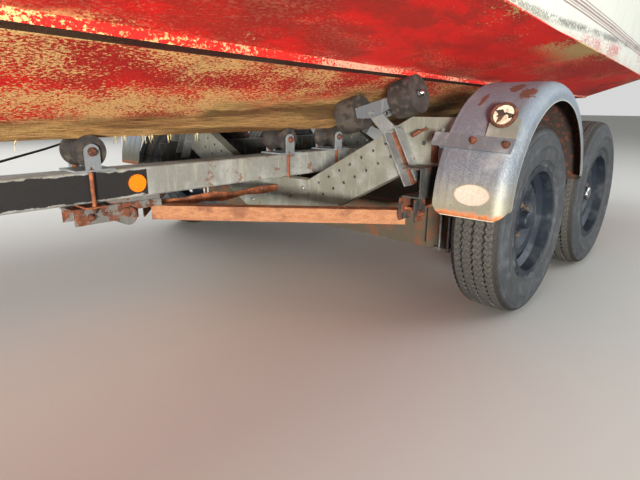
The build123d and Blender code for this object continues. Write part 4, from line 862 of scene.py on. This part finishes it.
def grid_faces(shape, rows, closed_rows=False, closed_columns=False):
    """Quads between rows of places."""
    verts = [[shape.verts.new(place) for place in row] for row in rows]
    count, width = len(verts), len(verts[0])
    for i in range(count if closed_rows else count - 1):
        for j in range(width if closed_columns else width - 1):
            a, b = verts[i], verts[(i + 1) % count]
            shape.faces.new((a[j], a[(j + 1) % width], b[(j + 1) % width], b[j]))
    return verts


class Fasteners:
    """Small turned and hexagonal hardware of one finish on one body."""

    def __init__(self):
        self.shape = bmesh.new()

    def rod(self, start, end, radius, sides, end_radius=None):
        start, end = Vector(start), Vector(end)
        run = end - start
        turn = run.to_track_quat("Z", "Y").to_matrix().to_4x4()
        bmesh.ops.create_cone(
            self.shape, cap_ends=True, segments=sides, radius1=radius,
            radius2=radius if end_radius is None else end_radius, depth=run.length,
            matrix=Matrix.Translation((start + end) / 2) @ turn)

    def bolt(self, place, out, size, thread):
        """Washer, hexagon with a chamfered top and the thread's end."""
        place, out = Vector(place), Vector(out).normalized()
        self.rod(place, place + out * size * 0.2, size * 1.15, 24)
        self.rod(place + out * size * 0.2, place + out * size * 0.85, size * 0.92, 6)
        self.rod(place + out * size * 0.85, place + out * size, size * 0.92, 6, size * 0.72)
        if thread:
            self.rod(place + out * size, place + out * (size + thread), size * 0.5, 14, size * 0.4)

    def domed(self, place, out, radius, height):
        """Low domed cap of stacked rings."""
        place, out = Vector(place), Vector(out).normalized()
        for k in range(4):
            low, high = k / 4, (k + 1) / 4
            wide, narrow = (radius * math.sqrt(1 - share * share * 0.98) for share in (low, high))
            self.rod(place + out * height * low, place + out * height * high, wide, 24, narrow)

    def bar(self, corner, opposite):
        low = Vector(map(min, corner, opposite))
        high = Vector(map(max, corner, opposite))
        middle = Matrix.Translation((low + high) / 2)
        bmesh.ops.create_cube(self.shape, size=1, matrix=middle @ Matrix.Diagonal((*(high - low), 1)))

    def done(self, name, finish, body=ROOT, slot=None, bevel=0.0):
        thing = shown(name, mesh_of(self.shape, name), finish, body, smooth=32)
        if bevel:
            edge = thing.modifiers.new("edges", "BEVEL")
            edge.width = bevel
            edge.segments = 2
            edge.limit_method = "ANGLE"
        return thing


# Wheels

WHEEL_Y = 0.985
WHEELS = {
    "front_port": (0.0, 1), "front_starboard": (0.0, -1),
    "rear_port": (REAR_AXLE, 1), "rear_starboard": (REAR_AXLE, -1),
}
TREAD_STEPS = 168
TREAD_HALF = 0.05
ZIGZAG = 0.0032
GROOVE_Y = 0.036
GROOVE_DEPTH = 0.0075
NUT_CIRCLE = 0.056


def tyre_columns():
    """Across the tyre, bead to bead: offset, radius, depth of the notches in the shoulder."""
    crown = TYRE_R - 0.0012
    floor = crown - GROOVE_DEPTH
    half = [(0.018, crown - 0.0005, 0.0), (GROOVE_Y - 0.0042, crown - 0.0015, 0.0)]
    half += [(GROOVE_Y - 0.0026, floor, 0.0), (GROOVE_Y + 0.0026, floor, 0.0)]
    half += [(GROOVE_Y + 0.0042, crown - 0.0018, 0.0), (0.0600, 0.3205, 0.0), (0.0625, 0.3196, 0.0028)]
    half += [(0.0700, 0.3168, 0.0040), (0.0745, 0.3135, 0.0040), (0.0785, 0.3070, 0.0026)]
    wall = (
        (0.0802, 0.3000), (0.0822, 0.2950), (0.0846, 0.2938), (0.0852, 0.2912), (0.0858, 0.2870),
        (0.0895, 0.2740), (0.0912, 0.2600), (0.0921, 0.2590), (0.0921, 0.2570), (0.0912, 0.2560),
        (0.0892, 0.2400), (0.0858, 0.2240), (0.0862, 0.2150), (0.0850, 0.2110), (0.0800, 0.2075),
        (0.0742, 0.2000), (0.0739, 0.1790),
    )
    half += [(u, radius, 0.0) for u, radius in wall]
    middle = [(-0.0042, crown, 0.0), (-0.0026, floor, 0.0), (0.0026, floor, 0.0), (0.0042, crown, 0.0)]
    return [(-u, radius, notch) for u, radius, notch in reversed(half)] + middle + half


def make_tyre(label):
    """Tyre with a zigzag tread, three grooves and notched shoulders."""
    x, side = WHEELS[label]
    hub = at(x, side * WHEEL_Y, TYRE_R)
    shape = bmesh.new()
    columns = tyre_columns()
    rows = []
    for step, angle in enumerate(around(TREAD_STEPS)):
        odd = step % 2
        row = []
        for u, radius, notch in columns:
            r = radius - (notch if odd else 0.0)
            if abs(u) < TREAD_HALF:
                u += ZIGZAG if odd else -ZIGZAG
            row.append(hub + Vector((r * math.cos(angle), u, r * math.sin(angle))))
        rows.append(row)
    grid_faces(shape, rows, closed_rows=True)
    tyre = closed(f"tyre_{label}_tread", shape, "tyre_rubber", f"wheel_{label}", smooth=38)
    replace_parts(tyre, f"tyre_{label}")


def wheel_hardware(label):
    """Wheel nuts, grease cap and valve on the outer side."""
    x, side = WHEELS[label]
    out = Vector((0, side, 0))
    body = f"wheel_{label}"
    nuts = Fasteners()
    for angle in around(5):
        across, up = NUT_CIRCLE * math.cos(angle), NUT_CIRCLE * math.sin(angle)
        nuts.bolt(at(x + across, side * (WHEEL_Y + 0.0235), TYRE_R + up), out, 0.0125, 0.004)
    nuts.done(f"wheel_nuts_{label}", "nut_steel", body, "rusty_steel")
    cap = Fasteners()
    centre = at(x, side * (WHEEL_Y + 0.032), TYRE_R)
    cap.rod(centre, centre + out * 0.022, 0.031, 32, 0.030)
    cap.domed(centre + out * 0.022, out, 0.030, 0.010)
    cap.done(f"grease_cap_{label}", "stainless" if "rear" in label else "wheel_paint", body)
    valve = Fasteners()
    foot = at(x + 0.160, side * (WHEEL_Y + 0.042), TYRE_R + 0.020)
    valve.rod(foot, foot + out * 0.026, 0.005, 12, 0.004)
    valve.rod(foot + out * 0.026, foot + out * 0.036, 0.0048, 12, 0.0040)
    valve.done(f"valve_{label}", "black_rubber", body)


# Fender trim

def make_sticker():
    """Blank oval plate stuck on the front of the port fender."""
    shape = bmesh.new()
    middle, half_height, points = math.radians(9.9), 0.033, 64
    rings = []
    for size, lift in ((1.0, 0.0002), (1.0, 0.0009), (0.93, 0.0010), (0.90, 0.0007), (0.0, 0.0008)):
        row = []
        for turn in around(points):
            y = PLATE_Y + PLATE_HALF_WIDTH * size * math.cos(turn)
            angle = middle + half_height * size * math.sin(turn) / FENDER_R
            r = FENDER_R + lift
            row.append(at(r * math.cos(angle), y, FENDER_Z + r * math.sin(angle)))
        rings.append(row)
    grid_faces(shape, rings[:-1], closed_columns=True)
    shape.verts.ensure_lookup_table()
    bmesh.ops.contextual_create(shape, geom=shape.verts[-points:])
    closed("oval_plate", shape, "old_plastic", ROOT, smooth=30)


def make_fender_bolts():
    """Rusty bolts through the fenders' bars."""
    rusty = Fasteners()
    for y, angle in ((0.968, 33.06), (1.068, 31.95)):
        out = Vector((math.cos(math.radians(angle)), 0, math.sin(math.radians(angle))))
        for side in SIDES:
            rusty.bolt(at(0, side * y, FENDER_Z) + out * (FENDER_R + 0.0052), out, 0.0105, 0.003)
    rusty.done("fender_bolts", "bolt_rust", ROOT, "rusty_steel")


# Middle of the lens in a marker lamp's own axes: X out of its face, Z up it.
LAMP_Y = 1.036
LAMP_Z = 0.0645
LENS_R = 0.0298

# What is left of the lens: first and last degree of each shard, and how far it reaches in.
SHARDS = (
    (8, 152, (0.93, 0.50, 0.36, 0.44, 0.22, 0.30, 0.62, 0.70, 0.96)),
    (160, 236, (0.95, 0.72, 0.58, 0.66, 0.80, 0.55, 0.62, 0.84, 0.97)),
    (243, 350, (0.90, 0.64, 0.30, 0.18, 0.26, 0.52, 0.44, 0.74, 0.94)),
)


def lamp_matrix(side):
    """Where a marker lamp's own axes lie."""
    angle = math.radians(32.5)
    out = Vector((math.cos(angle), 0, math.sin(angle))) * (FENDER_R + 0.0045)
    up = Vector((-math.sin(angle), 0, math.cos(angle))) * 0.0233
    middle = Matrix.Translation((0, 0.9615, 0))
    turned = middle @ Matrix.Rotation(math.radians(-3), 4, "X") @ middle.inverted()
    foot = Matrix.Translation(at(0, 0, FENDER_Z) + out + up) @ Matrix.Rotation(math.radians(-25), 4, "Y")
    return Matrix.Diagonal((1, side, 1, 1)) @ foot @ turned


def make_lamp_ring(name, place):
    """Rusty ring that held the lens, slightly out of round."""
    profile = (
        (0.0367, 0.003), (0.0382, 0.004), (0.0386, 0.010), (0.0370, 0.0135), (0.0335, 0.0142),
        (0.0308, 0.0128), (0.0300, 0.0060),
    )
    ring = bmesh.new()
    rows = []
    for radius, out in profile:
        row = []
        for turn in around(48):
            r = radius + 0.0004 * math.sin(5 * turn)
            row.append(place @ Vector((out, LAMP_Y + r * math.cos(turn), LAMP_Z + r * math.sin(turn))))
        rows.append(row)
    grid_faces(ring, rows, closed_rows=True, closed_columns=True)
    closed(f"lamp_ring_{name}", ring, "bolt_rust", ROOT)


def add_shard(shape, place, first, last, reach_in):
    """One broken piece of the lens, still held by the ring."""
    steps = len(reach_in) - 1
    outer, inner = [], []
    for k, share in enumerate(reach_in):
        turn = math.radians(first + (last - first) * k / steps + random.uniform(-2, 2))
        for row, r in ((outer, LENS_R), (inner, LENS_R * share)):
            row.append((LAMP_Y + r * math.cos(turn), LAMP_Z + r * math.sin(turn)))
    loop = []
    for height, row in ((0.0075, outer), (0.0088, outer), (0.0088, inner), (0.0075, inner)):
        loop.append([place @ Vector((height, y, z)) for y, z in row])
    made = grid_faces(shape, loop, closed_rows=True)
    for end in (0, steps):
        shape.faces.new([row[end] for row in made])


def make_lamp_insides():
    """Rusty ring round each marker lamp, with what is left of the lens and the bulb."""
    random.seed(11)
    for side, name in ((1, "port"), (-1, "starboard")):
        place = lamp_matrix(side)
        make_lamp_ring(name, place)
        middle = place @ Vector((0.0042, LAMP_Y, LAMP_Z))
        out = (place @ Vector((1.0042, LAMP_Y, LAMP_Z)) - middle).normalized()
        well = Fasteners()
        well.rod(middle, middle + out * 0.001, 0.0305, 40)
        well.done(f"lamp_well_{name}", "lamp_dark", ROOT, "rusty_steel")
        lens = Fasteners()
        lens.domed(middle + out * 0.001 + Vector((0, 0.006 * side, -0.004)), out, 0.0065, 0.0060)
        for shard in SHARDS:
            add_shard(lens.shape, place, *shard)
        bmesh.ops.recalc_face_normals(lens.shape, faces=lens.shape.faces)
        lens.done(f"lamp_lens_{name}", "lamp_cream", ROOT, "lamp_plastic")


# Hardware under the boat

# Pins of the keel rollers: x, z. The bracket at HALF_BRACKET_X has no bolt under the beam.
KEEL_PINS = (
    (2.050, 0.5796), (1.050, 0.5617), (0.190, 0.5615), (-0.140, 0.5616), (-0.930, 0.5616),
    (-1.720, 0.5616),
)
HALF_BRACKET_X = 0.190
BRACKET_FACE_Y = 0.065
BRACKET_BOLT_Y = 0.058
BRACKET_FOOT_Z = 0.5062
BEAM_UNDER_Z = 0.3860
CROSS_FACES = ((FRONT_CROSS_X, 1), (REAR_CROSS_X, -1))
PLATE_GAP = 0.0062
POST_X, POST_FACE_Y = 0.188, 0.8718
HANGER_X = (0.310, -0.382, -1.074)
HANGER_Z = 0.362
SPRING_Y = 0.760
SPRING_PIN = 0.0313


def add_keel_bolts(rusty):
    for x, pin_z in KEEL_PINS:
        for side in SIDES:
            rusty.bolt(at(x, side * BRACKET_FACE_Y, pin_z), (0, side, 0), 0.0125, 0)
            rusty.bolt(at(x + 0.008, side * BRACKET_BOLT_Y, BRACKET_FOOT_Z), (0, 0, 1), 0.0095, 0.006)
            if x != HALF_BRACKET_X:
                rusty.bolt(at(x + 0.008, side * BRACKET_BOLT_Y, BEAM_UNDER_Z), (0, 0, -1), 0.0095, 0.010)


def add_cross_bolts(plated):
    """Bolts of the cross-members' saddles and of the front one's posts."""
    for face, facing in CROSS_FACES:
        for side in SIDES:
            for y, z in ((0.0815, 0.3225), (0.1650, 0.2750), (0.1650, 0.3650)):
                plated.bolt(at(face + facing * PLATE_GAP, side * y, z), (facing, 0, 0), 0.0085, 0.005)
    for side in SIDES:
        for z in (0.560, 0.622):
            plated.bolt(at(POST_X, side * POST_FACE_Y, z), (0, side, 0), 0.0085, 0.004)


def add_spring_bolts(rusty, plated):
    """Pins of the springs, and a clamp of four studs between two plates at each axle."""
    for x in HANGER_X:
        for side in SIDES:
            rusty.bolt(at(x, side * (SPRING_Y + SPRING_PIN), HANGER_Z), (0, side, 0), 0.0120, 0.006)
            rusty.bolt(at(x, side * (SPRING_Y - SPRING_PIN), HANGER_Z), (0, -side, 0), 0.0120, 0.012)
    for axle_x in (0.0, REAR_AXLE):
        for side in SIDES:
            for dx in (0.062, -0.062):
                for dy in (0.018, -0.018):
                    foot = at(axle_x + dx, side * (SPRING_Y + dy), 0.170)
                    plated.rod(foot, foot + Vector((0, 0, 0.232)), 0.0055, 12)
                    plated.bolt(foot + Vector((0, 0, 0.008)), (0, 0, -1), 0.0085, 0)
            low = at(axle_x - 0.072, side * SPRING_Y - 0.028, 0.1785)
            plated.bar(low, low + Vector((0.144, 0.056, 0.0062)))
            high = at(axle_x - 0.070, side * SPRING_Y - 0.026, 0.3965)
            plated.bar(high, high + Vector((0.140, 0.052, 0.0055)))


def add_strut_bolts(rusty):
    """Bolts at the struts' outer ends and through the clamp at their inner ends."""
    for side in SIDES:
        rusty.bolt(at(0.300, side * 0.706, 0.3538), (0, 0, -1), 0.0110, 0.006)
        rusty.bolt(at(1.070, side * 0.0502, 0.3560), (0, side, 0), 0.0110, 0.004)


def add_front_bolts(plated):
    """Bolts of the coupler, the winch's side plates and the winch post's foot."""
    for side in SIDES:
        for x in (4.560, 4.660):
            plated.bolt(at(x, side * 0.0582, 0.462), (0, side, 0), 0.0110, 0.005)
        for x, z in ((4.262, 1.035), (4.262, 1.165), (4.395, 1.075)):
            plated.bolt(at(x, side * 0.0472, z), (0, side, 0), 0.0075, 0.002)
        for x in (4.205, 4.305):
            plated.bolt(at(x, side * 0.044, 0.5102), (0, 0, 1), 0.0085, 0.004)


def add_hook_bolt(rusty):
    """Hook bolt pushed through one hole of the port arm, and a strap hanging beside it."""
    hole, bend, end = at(0.200, 0.7393, 0.6312), at(0.240, 0.7320, 0.6240), at(0.262, 0.7165, 0.6080)
    rusty.rod(hole, bend, 0.0045, 12)
    rusty.rod(bend, end, 0.0068, 12)
    rusty.domed(bend, hole - bend, 0.0068, 0.004)
    rusty.bar(at(0.2064, 0.7640, 0.520), at(0.2115, 0.7880, 0.615))


def make_frame_bolts():
    """Rusty and newer plated hardware of the whole trailer."""
    rusty, plated = Fasteners(), Fasteners()
    add_keel_bolts(rusty)
    add_cross_bolts(plated)
    add_spring_bolts(rusty, plated)
    add_strut_bolts(rusty)
    add_front_bolts(plated)
    add_hook_bolt(rusty)
    rusty.done("rusty_bolts", "bolt_rust", ROOT, "rusty_steel")
    plated.done("plated_bolts", "fresh_zinc", ROOT, "zinc_plate")


# Wing rollers: x, y and z of the inner and the outer one, tilt of their spindle in degrees.
WING_SPINDLES = (
    (0.215, ((0.430, 0.6723), (0.665, 0.7353)), 15.0),
    (-1.019, ((0.285, 0.6175), (0.520, 0.6890)), 16.92),
)


def make_roller_caps():
    """Black discs painted as shade in the recessed holes at both ends of each wing roller, and bright
    caps on the outer ends of the spindles.
    """
    dark, bright = Fasteners(), Fasteners()
    half, seat, tip_out, tip_r = 0.0425, 0.0012, 0.0545, 0.0115
    for x, ends, degrees in WING_SPINDLES:
        tilt = math.radians(degrees)
        for side in SIDES:
            along = Vector((0, side * math.cos(tilt), math.sin(tilt)))
            for (y, z), way in zip(ends, (-1, 1)):
                middle = at(x, side * y, z)
                for sign in (1, -1):
                    face = middle + along * sign * half
                    # Painted shade: a thin black disc on each roller end, for the shade in its recessed
                    # hole.
                    dark.rod(face, face + along * sign * seat, 0.017, 28)
                tip = middle + along * way * tip_out
                bright.rod(tip - along * way * 0.004, tip, tip_r, 24)
                bright.domed(tip, along * way, tip_r, 0.007)
    dark.done("roller_hole_shades", "black_rubber", ROOT)
    bright.done("spindle_caps", "stainless", ROOT)


WEED_X = (0.815, 0.842, 0.914, 0.942, 0.62, 0.74, 1.24, 1.42)


def make_weed():
    """Dry weed hanging from the keel."""
    random.seed(5)
    strands = Fasteners()
    for _ in range(26):
        x = random.choice(WEED_X) + random.uniform(-0.008, 0.008)
        y = random.uniform(-0.010, 0.012)
        top = at(x, y, 0.6035 + abs(y) * 0.3)
        sway = [random.uniform(-most, most) for most in (0.006, 0.004)]
        strands.rod(top, top + Vector((*sway, -random.uniform(0.012, 0.036))), 0.0016, 5, 0.0005)
    strands.done("dry_weed", "dry_weed", ROOT, "hull_paint")


# Cushions

START_INSET = 0.011
MOST_SWELL = 0.012
CHANNEL = 0.009


def evaluated_mesh(thing):
    graph = bpy.context.evaluated_depsgraph_get()
    return bpy.data.meshes.new_from_object(thing.evaluated_get(graph))


def swollen_block(name, size, cell, channels):
    """Block remeshed and blown up as cloth, so its faces crown and its sides pull in."""
    shape = bmesh.new()
    small = Vector(size) - Vector((START_INSET,) * 3) * 2
    bmesh.ops.create_cube(shape, size=1, matrix=Matrix.Diagonal((*small, 1)))
    bmesh.ops.bevel(shape, geom=shape.edges[:], offset=0.016, segments=3, profile=0.5, affect="EDGES")
    thing = bpy.data.objects.new(name, mesh_of(shape, name))
    scene = bpy.context.scene
    scene.collection.objects.link(thing)
    grid = thing.modifiers.new("grid", "REMESH")
    grid.mode = "VOXEL"
    grid.voxel_size = cell
    rest = evaluated_mesh(thing)
    thing.modifiers.remove(grid)
    thing.data = rest
    full = rest
    cloth = thing.modifiers.new("cloth", "CLOTH")
    cloth.settings.use_pressure = True
    cloth.settings.uniform_pressure_force = 4.0
    cloth.settings.effector_weights.gravity = 0.0
    for moment in range(1, 21):
        scene.frame_set(moment)
        full = evaluated_mesh(thing)
    thing.modifiers.remove(cloth)
    scene.frame_set(1)
    result = bmesh.new()
    result.from_mesh(full)
    result.verts.ensure_lookup_table()
    for vert, start in zip(result.verts, rest.vertices):
        move = vert.co - start.co
        vert.co = start.co + move * min(1.0, MOST_SWELL / max(move.length, 1e-9))
    result.normal_update()
    for axis, middle in channels:
        for vert in result.verts:
            off = (vert.co[axis] - middle) / CHANNEL
            vert.co -= vert.normal * CHANNEL * math.exp(-off * off)
    every_way = {"use_axis_x": True, "use_axis_y": True, "use_axis_z": True}
    bmesh.ops.smooth_vert(result, verts=result.verts, factor=0.4, **every_way)
    bpy.data.objects.remove(thing)
    return mesh_of(result, name)


def make_cord(name, path, radius):
    """Closed round cord of piping along a closed path."""
    shape = bmesh.new()
    rows = []
    for i, point in enumerate(path):
        run = (path[(i + 1) % len(path)] - path[i - 1]).normalized()
        turn = run.to_track_quat("Z", "X").to_matrix()
        rows.append([point + turn @ Vector((math.cos(a), math.sin(a), 0)) * radius for a in around(8)])
    grid_faces(shape, rows, closed_rows=True, closed_columns=True)
    closed(name, shape, "piping", ROOT)


def piping_path(mesh, size, thin, level):
    """Loop on the cushion's surface round its broad face; thin is the axis across its thickness."""
    faces = [p.vertices[:] for p in mesh.polygons]
    surface = BVHTree.FromPolygons([v.co for v in mesh.vertices], faces)
    u, v = [axis for axis in range(3) if axis != thin]
    path = []
    for turn in around(128):
        probe = Vector((0, 0, 0))
        probe[thin] = level
        for axis, part in ((u, math.cos(turn)), (v, math.sin(turn))):
            probe[axis] = math.copysign(abs(part) ** 0.22, part) * size[axis] / 2
        path.append(surface.find_nearest(probe)[0])
    count = len(path)
    return [(path[i - 1] + path[i] * 2 + path[(i + 1) % count]) / 4 for i in range(count)]


LEAN = Matrix.Rotation(math.radians(-4.8), 4, "Y")
SEATS = (("port", 0.420), ("starboard", -0.420))
BENCH = (("aft", 0.0),)
BENCH_CHANNELS = ((1, -0.35), (1, 0.0), (1, 0.35))

# Cushions: size, axis of the thickness, channels (axis, place), x and z, name and y of each.
CUSHIONS = {
    "seat_pad": ((0.410, 0.450, 0.0897), 2, (), (0.290, 1.3352), SEATS),
    "seat_back": ((0.088, 0.440, 0.400), 0, (), (0.0408, 1.5975), SEATS),
    "bench_pad": ((0.355, 1.400, 0.0897), 2, BENCH_CHANNELS, (-1.0625, 1.3252), BENCH),
    "bench_back": ((0.088, 1.400, 0.252), 0, BENCH_CHANNELS, (-1.2849, 1.4125), BENCH),
}
PIPING_LEVEL = 0.026
PIPING_R = 0.0042


def make_cushions():
    """Seat and bench cushions: blown-up blocks with piping, in place of the plain solids."""
    pads = {"seat_cushions": [], "bench_cushions": []}
    for kind, (size, thin, channels, (x, z), places) in CUSHIONS.items():
        node, cell = ("bench_cushions", 0.010) if "bench" in kind else ("seat_cushions", 0.008)
        mesh = swollen_block(kind, size, cell, channels)
        path = piping_path(mesh, size, thin, PIPING_LEVEL)
        for label, y in places:
            place = Matrix.Translation(at(x, y, z)) @ (LEAN if kind == "seat_back" else Matrix())
            copy = mesh.copy()
            copy.transform(place)
            pad = shown(f"{kind}_{label}", copy, "vinyl", ROOT, smooth=60)
            soft = pad.modifiers.new("soft", "SUBSURF")
            soft.levels = soft.render_levels = 1
            pads[node].append(pad)
            make_cord(f"{kind}_{label}_piping", [place @ point for point in path], PIPING_R)
    for node, made in pads.items():
        for pad in made:
            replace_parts(pad, node)


# Helm, winch and motor fittings

def make_floor_front():
    """Sole and foot of the walls at the cockpit's front end, which the solids leave open."""
    front, back, half, corner = 1.300, 0.560, 0.780, 0.140
    shape = bmesh.new()

    def loop(grow, z):
        radius = corner + grow
        points = [at(back, -half - grow, z)]
        for side, first in ((-1, -90), (1, 0)):
            points += corner_arc(front - corner, side * (half - corner), z, radius, first)
        points.append(at(back, half + grow, z))
        return points

    rings = [loop(0.0147, 0.9453), loop(0.0147, 1.075), loop(0.0004, 1.075), loop(0.0004, 0.9596)]
    verts = grid_faces(shape, rings)
    shape.faces.new(verts[0])
    shape.faces.new(verts[-1])
    for end in (0, -1):
        shape.faces.new([row[end] for row in verts])
    shape.faces.new((verts[0][0], verts[3][0], verts[3][-1], verts[0][-1]))
    bmesh.ops.triangulate(shape, faces=[f for f in shape.faces if len(f.verts) > 4])
    closed("cockpit_floor_front", shape, "gelcoat")


def make_webbing():
    """Flat winch strap, with the hook in the bow eye."""
    start, end = at(4.2059, 0, 1.180), at(4.0905, 0, 1.2335)
    run = end - start
    lift = run.cross(Vector((0, 1, 0))).normalized() * 0.0012
    shape = bmesh.new()
    rows = []
    for k in range(9):
        share = k / 8
        half = 0.024 - 0.010 * max(0.0, share - 0.6) / 0.4
        middle = start + run * share
        corners = ((-1, -1), (1, -1), (1, 1), (-1, 1))
        rows.append([middle + Vector((0, sy * half, 0)) + lift * sz for sy, sz in corners])
    verts = grid_faces(shape, rows, closed_columns=True)
    for row in (verts[0], verts[-1]):
        shape.faces.new(row)
    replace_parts(closed("flat_strap", shape, "webbing"), "winch_strap")
    hook = Fasteners()
    hook.rod(end + Vector((0, -0.018, 0)), end + Vector((0, 0.018, 0)), 0.005, 12)
    hook.rod(end, at(4.0561, 0, 1.235), 0.0055, 14)
    hook.done("strap_hook", "clamp_zinc", ROOT, "zinc_plate")


# Dials on the dash: y, share of the way down its slope, radius.
DIALS = (
    (-0.60, 0.30, 0.040), (-0.70, 0.30, 0.030), (-0.24, 0.30, 0.040),
    (-0.245, 0.78, 0.026), (-0.60, 0.80, 0.026),
)


def make_helm_fittings():
    """Dials on the sloping dash, the throttle box, the filler cap and the motor's bolts."""
    bezels, faces, needles = Fasteners(), Fasteners(), Fasteners()
    slope = Vector((-0.060, 0, -0.140))
    out = Vector((-0.919, 0, 0.394))
    for y, share, radius in DIALS:
        middle = at(0.960, y, 1.560) + slope * share
        bezels.rod(middle, middle + out * 0.006, radius, 36, radius * 0.94)
        faces.rod(middle + out * 0.006, middle + out * 0.0068, radius * 0.84, 36)
        hand = Vector((0, 0.55, 0.0)) + slope.normalized() * -0.83
        needles.rod(middle + out * 0.0072, middle + out * 0.0072 + hand * radius * 0.66, 0.0012, 8)
    bezels.done("dial_bezels", "stainless", ROOT)
    faces.done("dial_faces", "dial_face", ROOT, "helm_black")
    needles.done("dial_hands", "lamp_cream", ROOT, "lamp_plastic")
    box = Fasteners()
    box.bar(at(0.500, -0.7795, 1.370), at(0.640, -0.742, 1.500))
    box.rod(at(0.570, -0.742, 1.435), at(0.570, -0.722, 1.435), 0.030, 28)
    box.rod(at(0.570, -0.728, 1.435), at(0.600, -0.700, 1.590), 0.008, 16)
    box.domed(at(0.600, -0.700, 1.583), (0.19, 0.18, 0.97), 0.019, 0.030)
    box.done("throttle_box", "helm_black", ROOT, bevel=0.003)
    caps = Fasteners()
    caps.rod(at(-1.000, 0.950, 1.580), at(-1.000, 0.950, 1.5915), 0.034, 36, 0.032)
    caps.domed(at(-1.000, 0.950, 1.5915), (0, 0.046, 1), 0.026, 0.004)
    for side in SIDES:
        caps.bolt(at(-2.062, side * 0.1392, 1.190), (0, side, 0), 0.020, 0.004)
        for z in (0.870, 0.960):
            caps.bolt(at(-2.018, side * 0.1402, z), (0, side, 0), 0.0105, 0.003)
    caps.done("bright_fittings", "stainless", ROOT)


# Section of the rubber seal round the engine cover: height, how far it stands out.
SEAL = (
    (1.3660, 0.0015), (1.3672, 0.0040), (1.3738, 0.0040),
    (1.3750, 0.0015), (1.3738, -0.0030), (1.3672, -0.0030),
)


def make_cowl_trim():
    """Rubber seal round the engine cover's lower edge and its rear latch."""
    steer, rear = -2.165, -2.590
    shape = bmesh.new()
    rows = []
    for z, grow in SEAL:
        aft, fore = rear + 0.005 - grow, steer + 0.080 + grow
        half, radius = 0.180 + grow, 0.090 + grow
        row = []
        for cx, cy, first in ((fore - radius, half - radius, 0), (aft + radius, half - radius, 90),
                              (aft + radius, radius - half, 180), (fore - radius, radius - half, 270)):
            row += corner_arc(cx, cy, z, radius, first)
        rows.append(row)
    grid_faces(shape, rows, closed_rows=True, closed_columns=True)
    closed("cowl_seal", shape, "black_rubber", "motor")
    latch = Fasteners()
    latch.bar(at(rear + 0.0002, -0.022, 1.385), at(rear + 0.010, 0.022, 1.440))
    latch.done("cowl_latch", "helm_black", "motor", bevel=0.002)


place_camera()
light_studio()
lay_floor()
dress_nodes()
for wheel in WHEELS:
    make_tyre(wheel)
    wheel_hardware(wheel)
make_sticker()
make_fender_bolts()
make_lamp_insides()
make_frame_bolts()
make_roller_caps()
make_weed()
make_cushions()
make_floor_front()
make_webbing()
make_helm_fittings()
make_cowl_trim()

bpy.context.scene.view_settings.view_transform = "Standard"
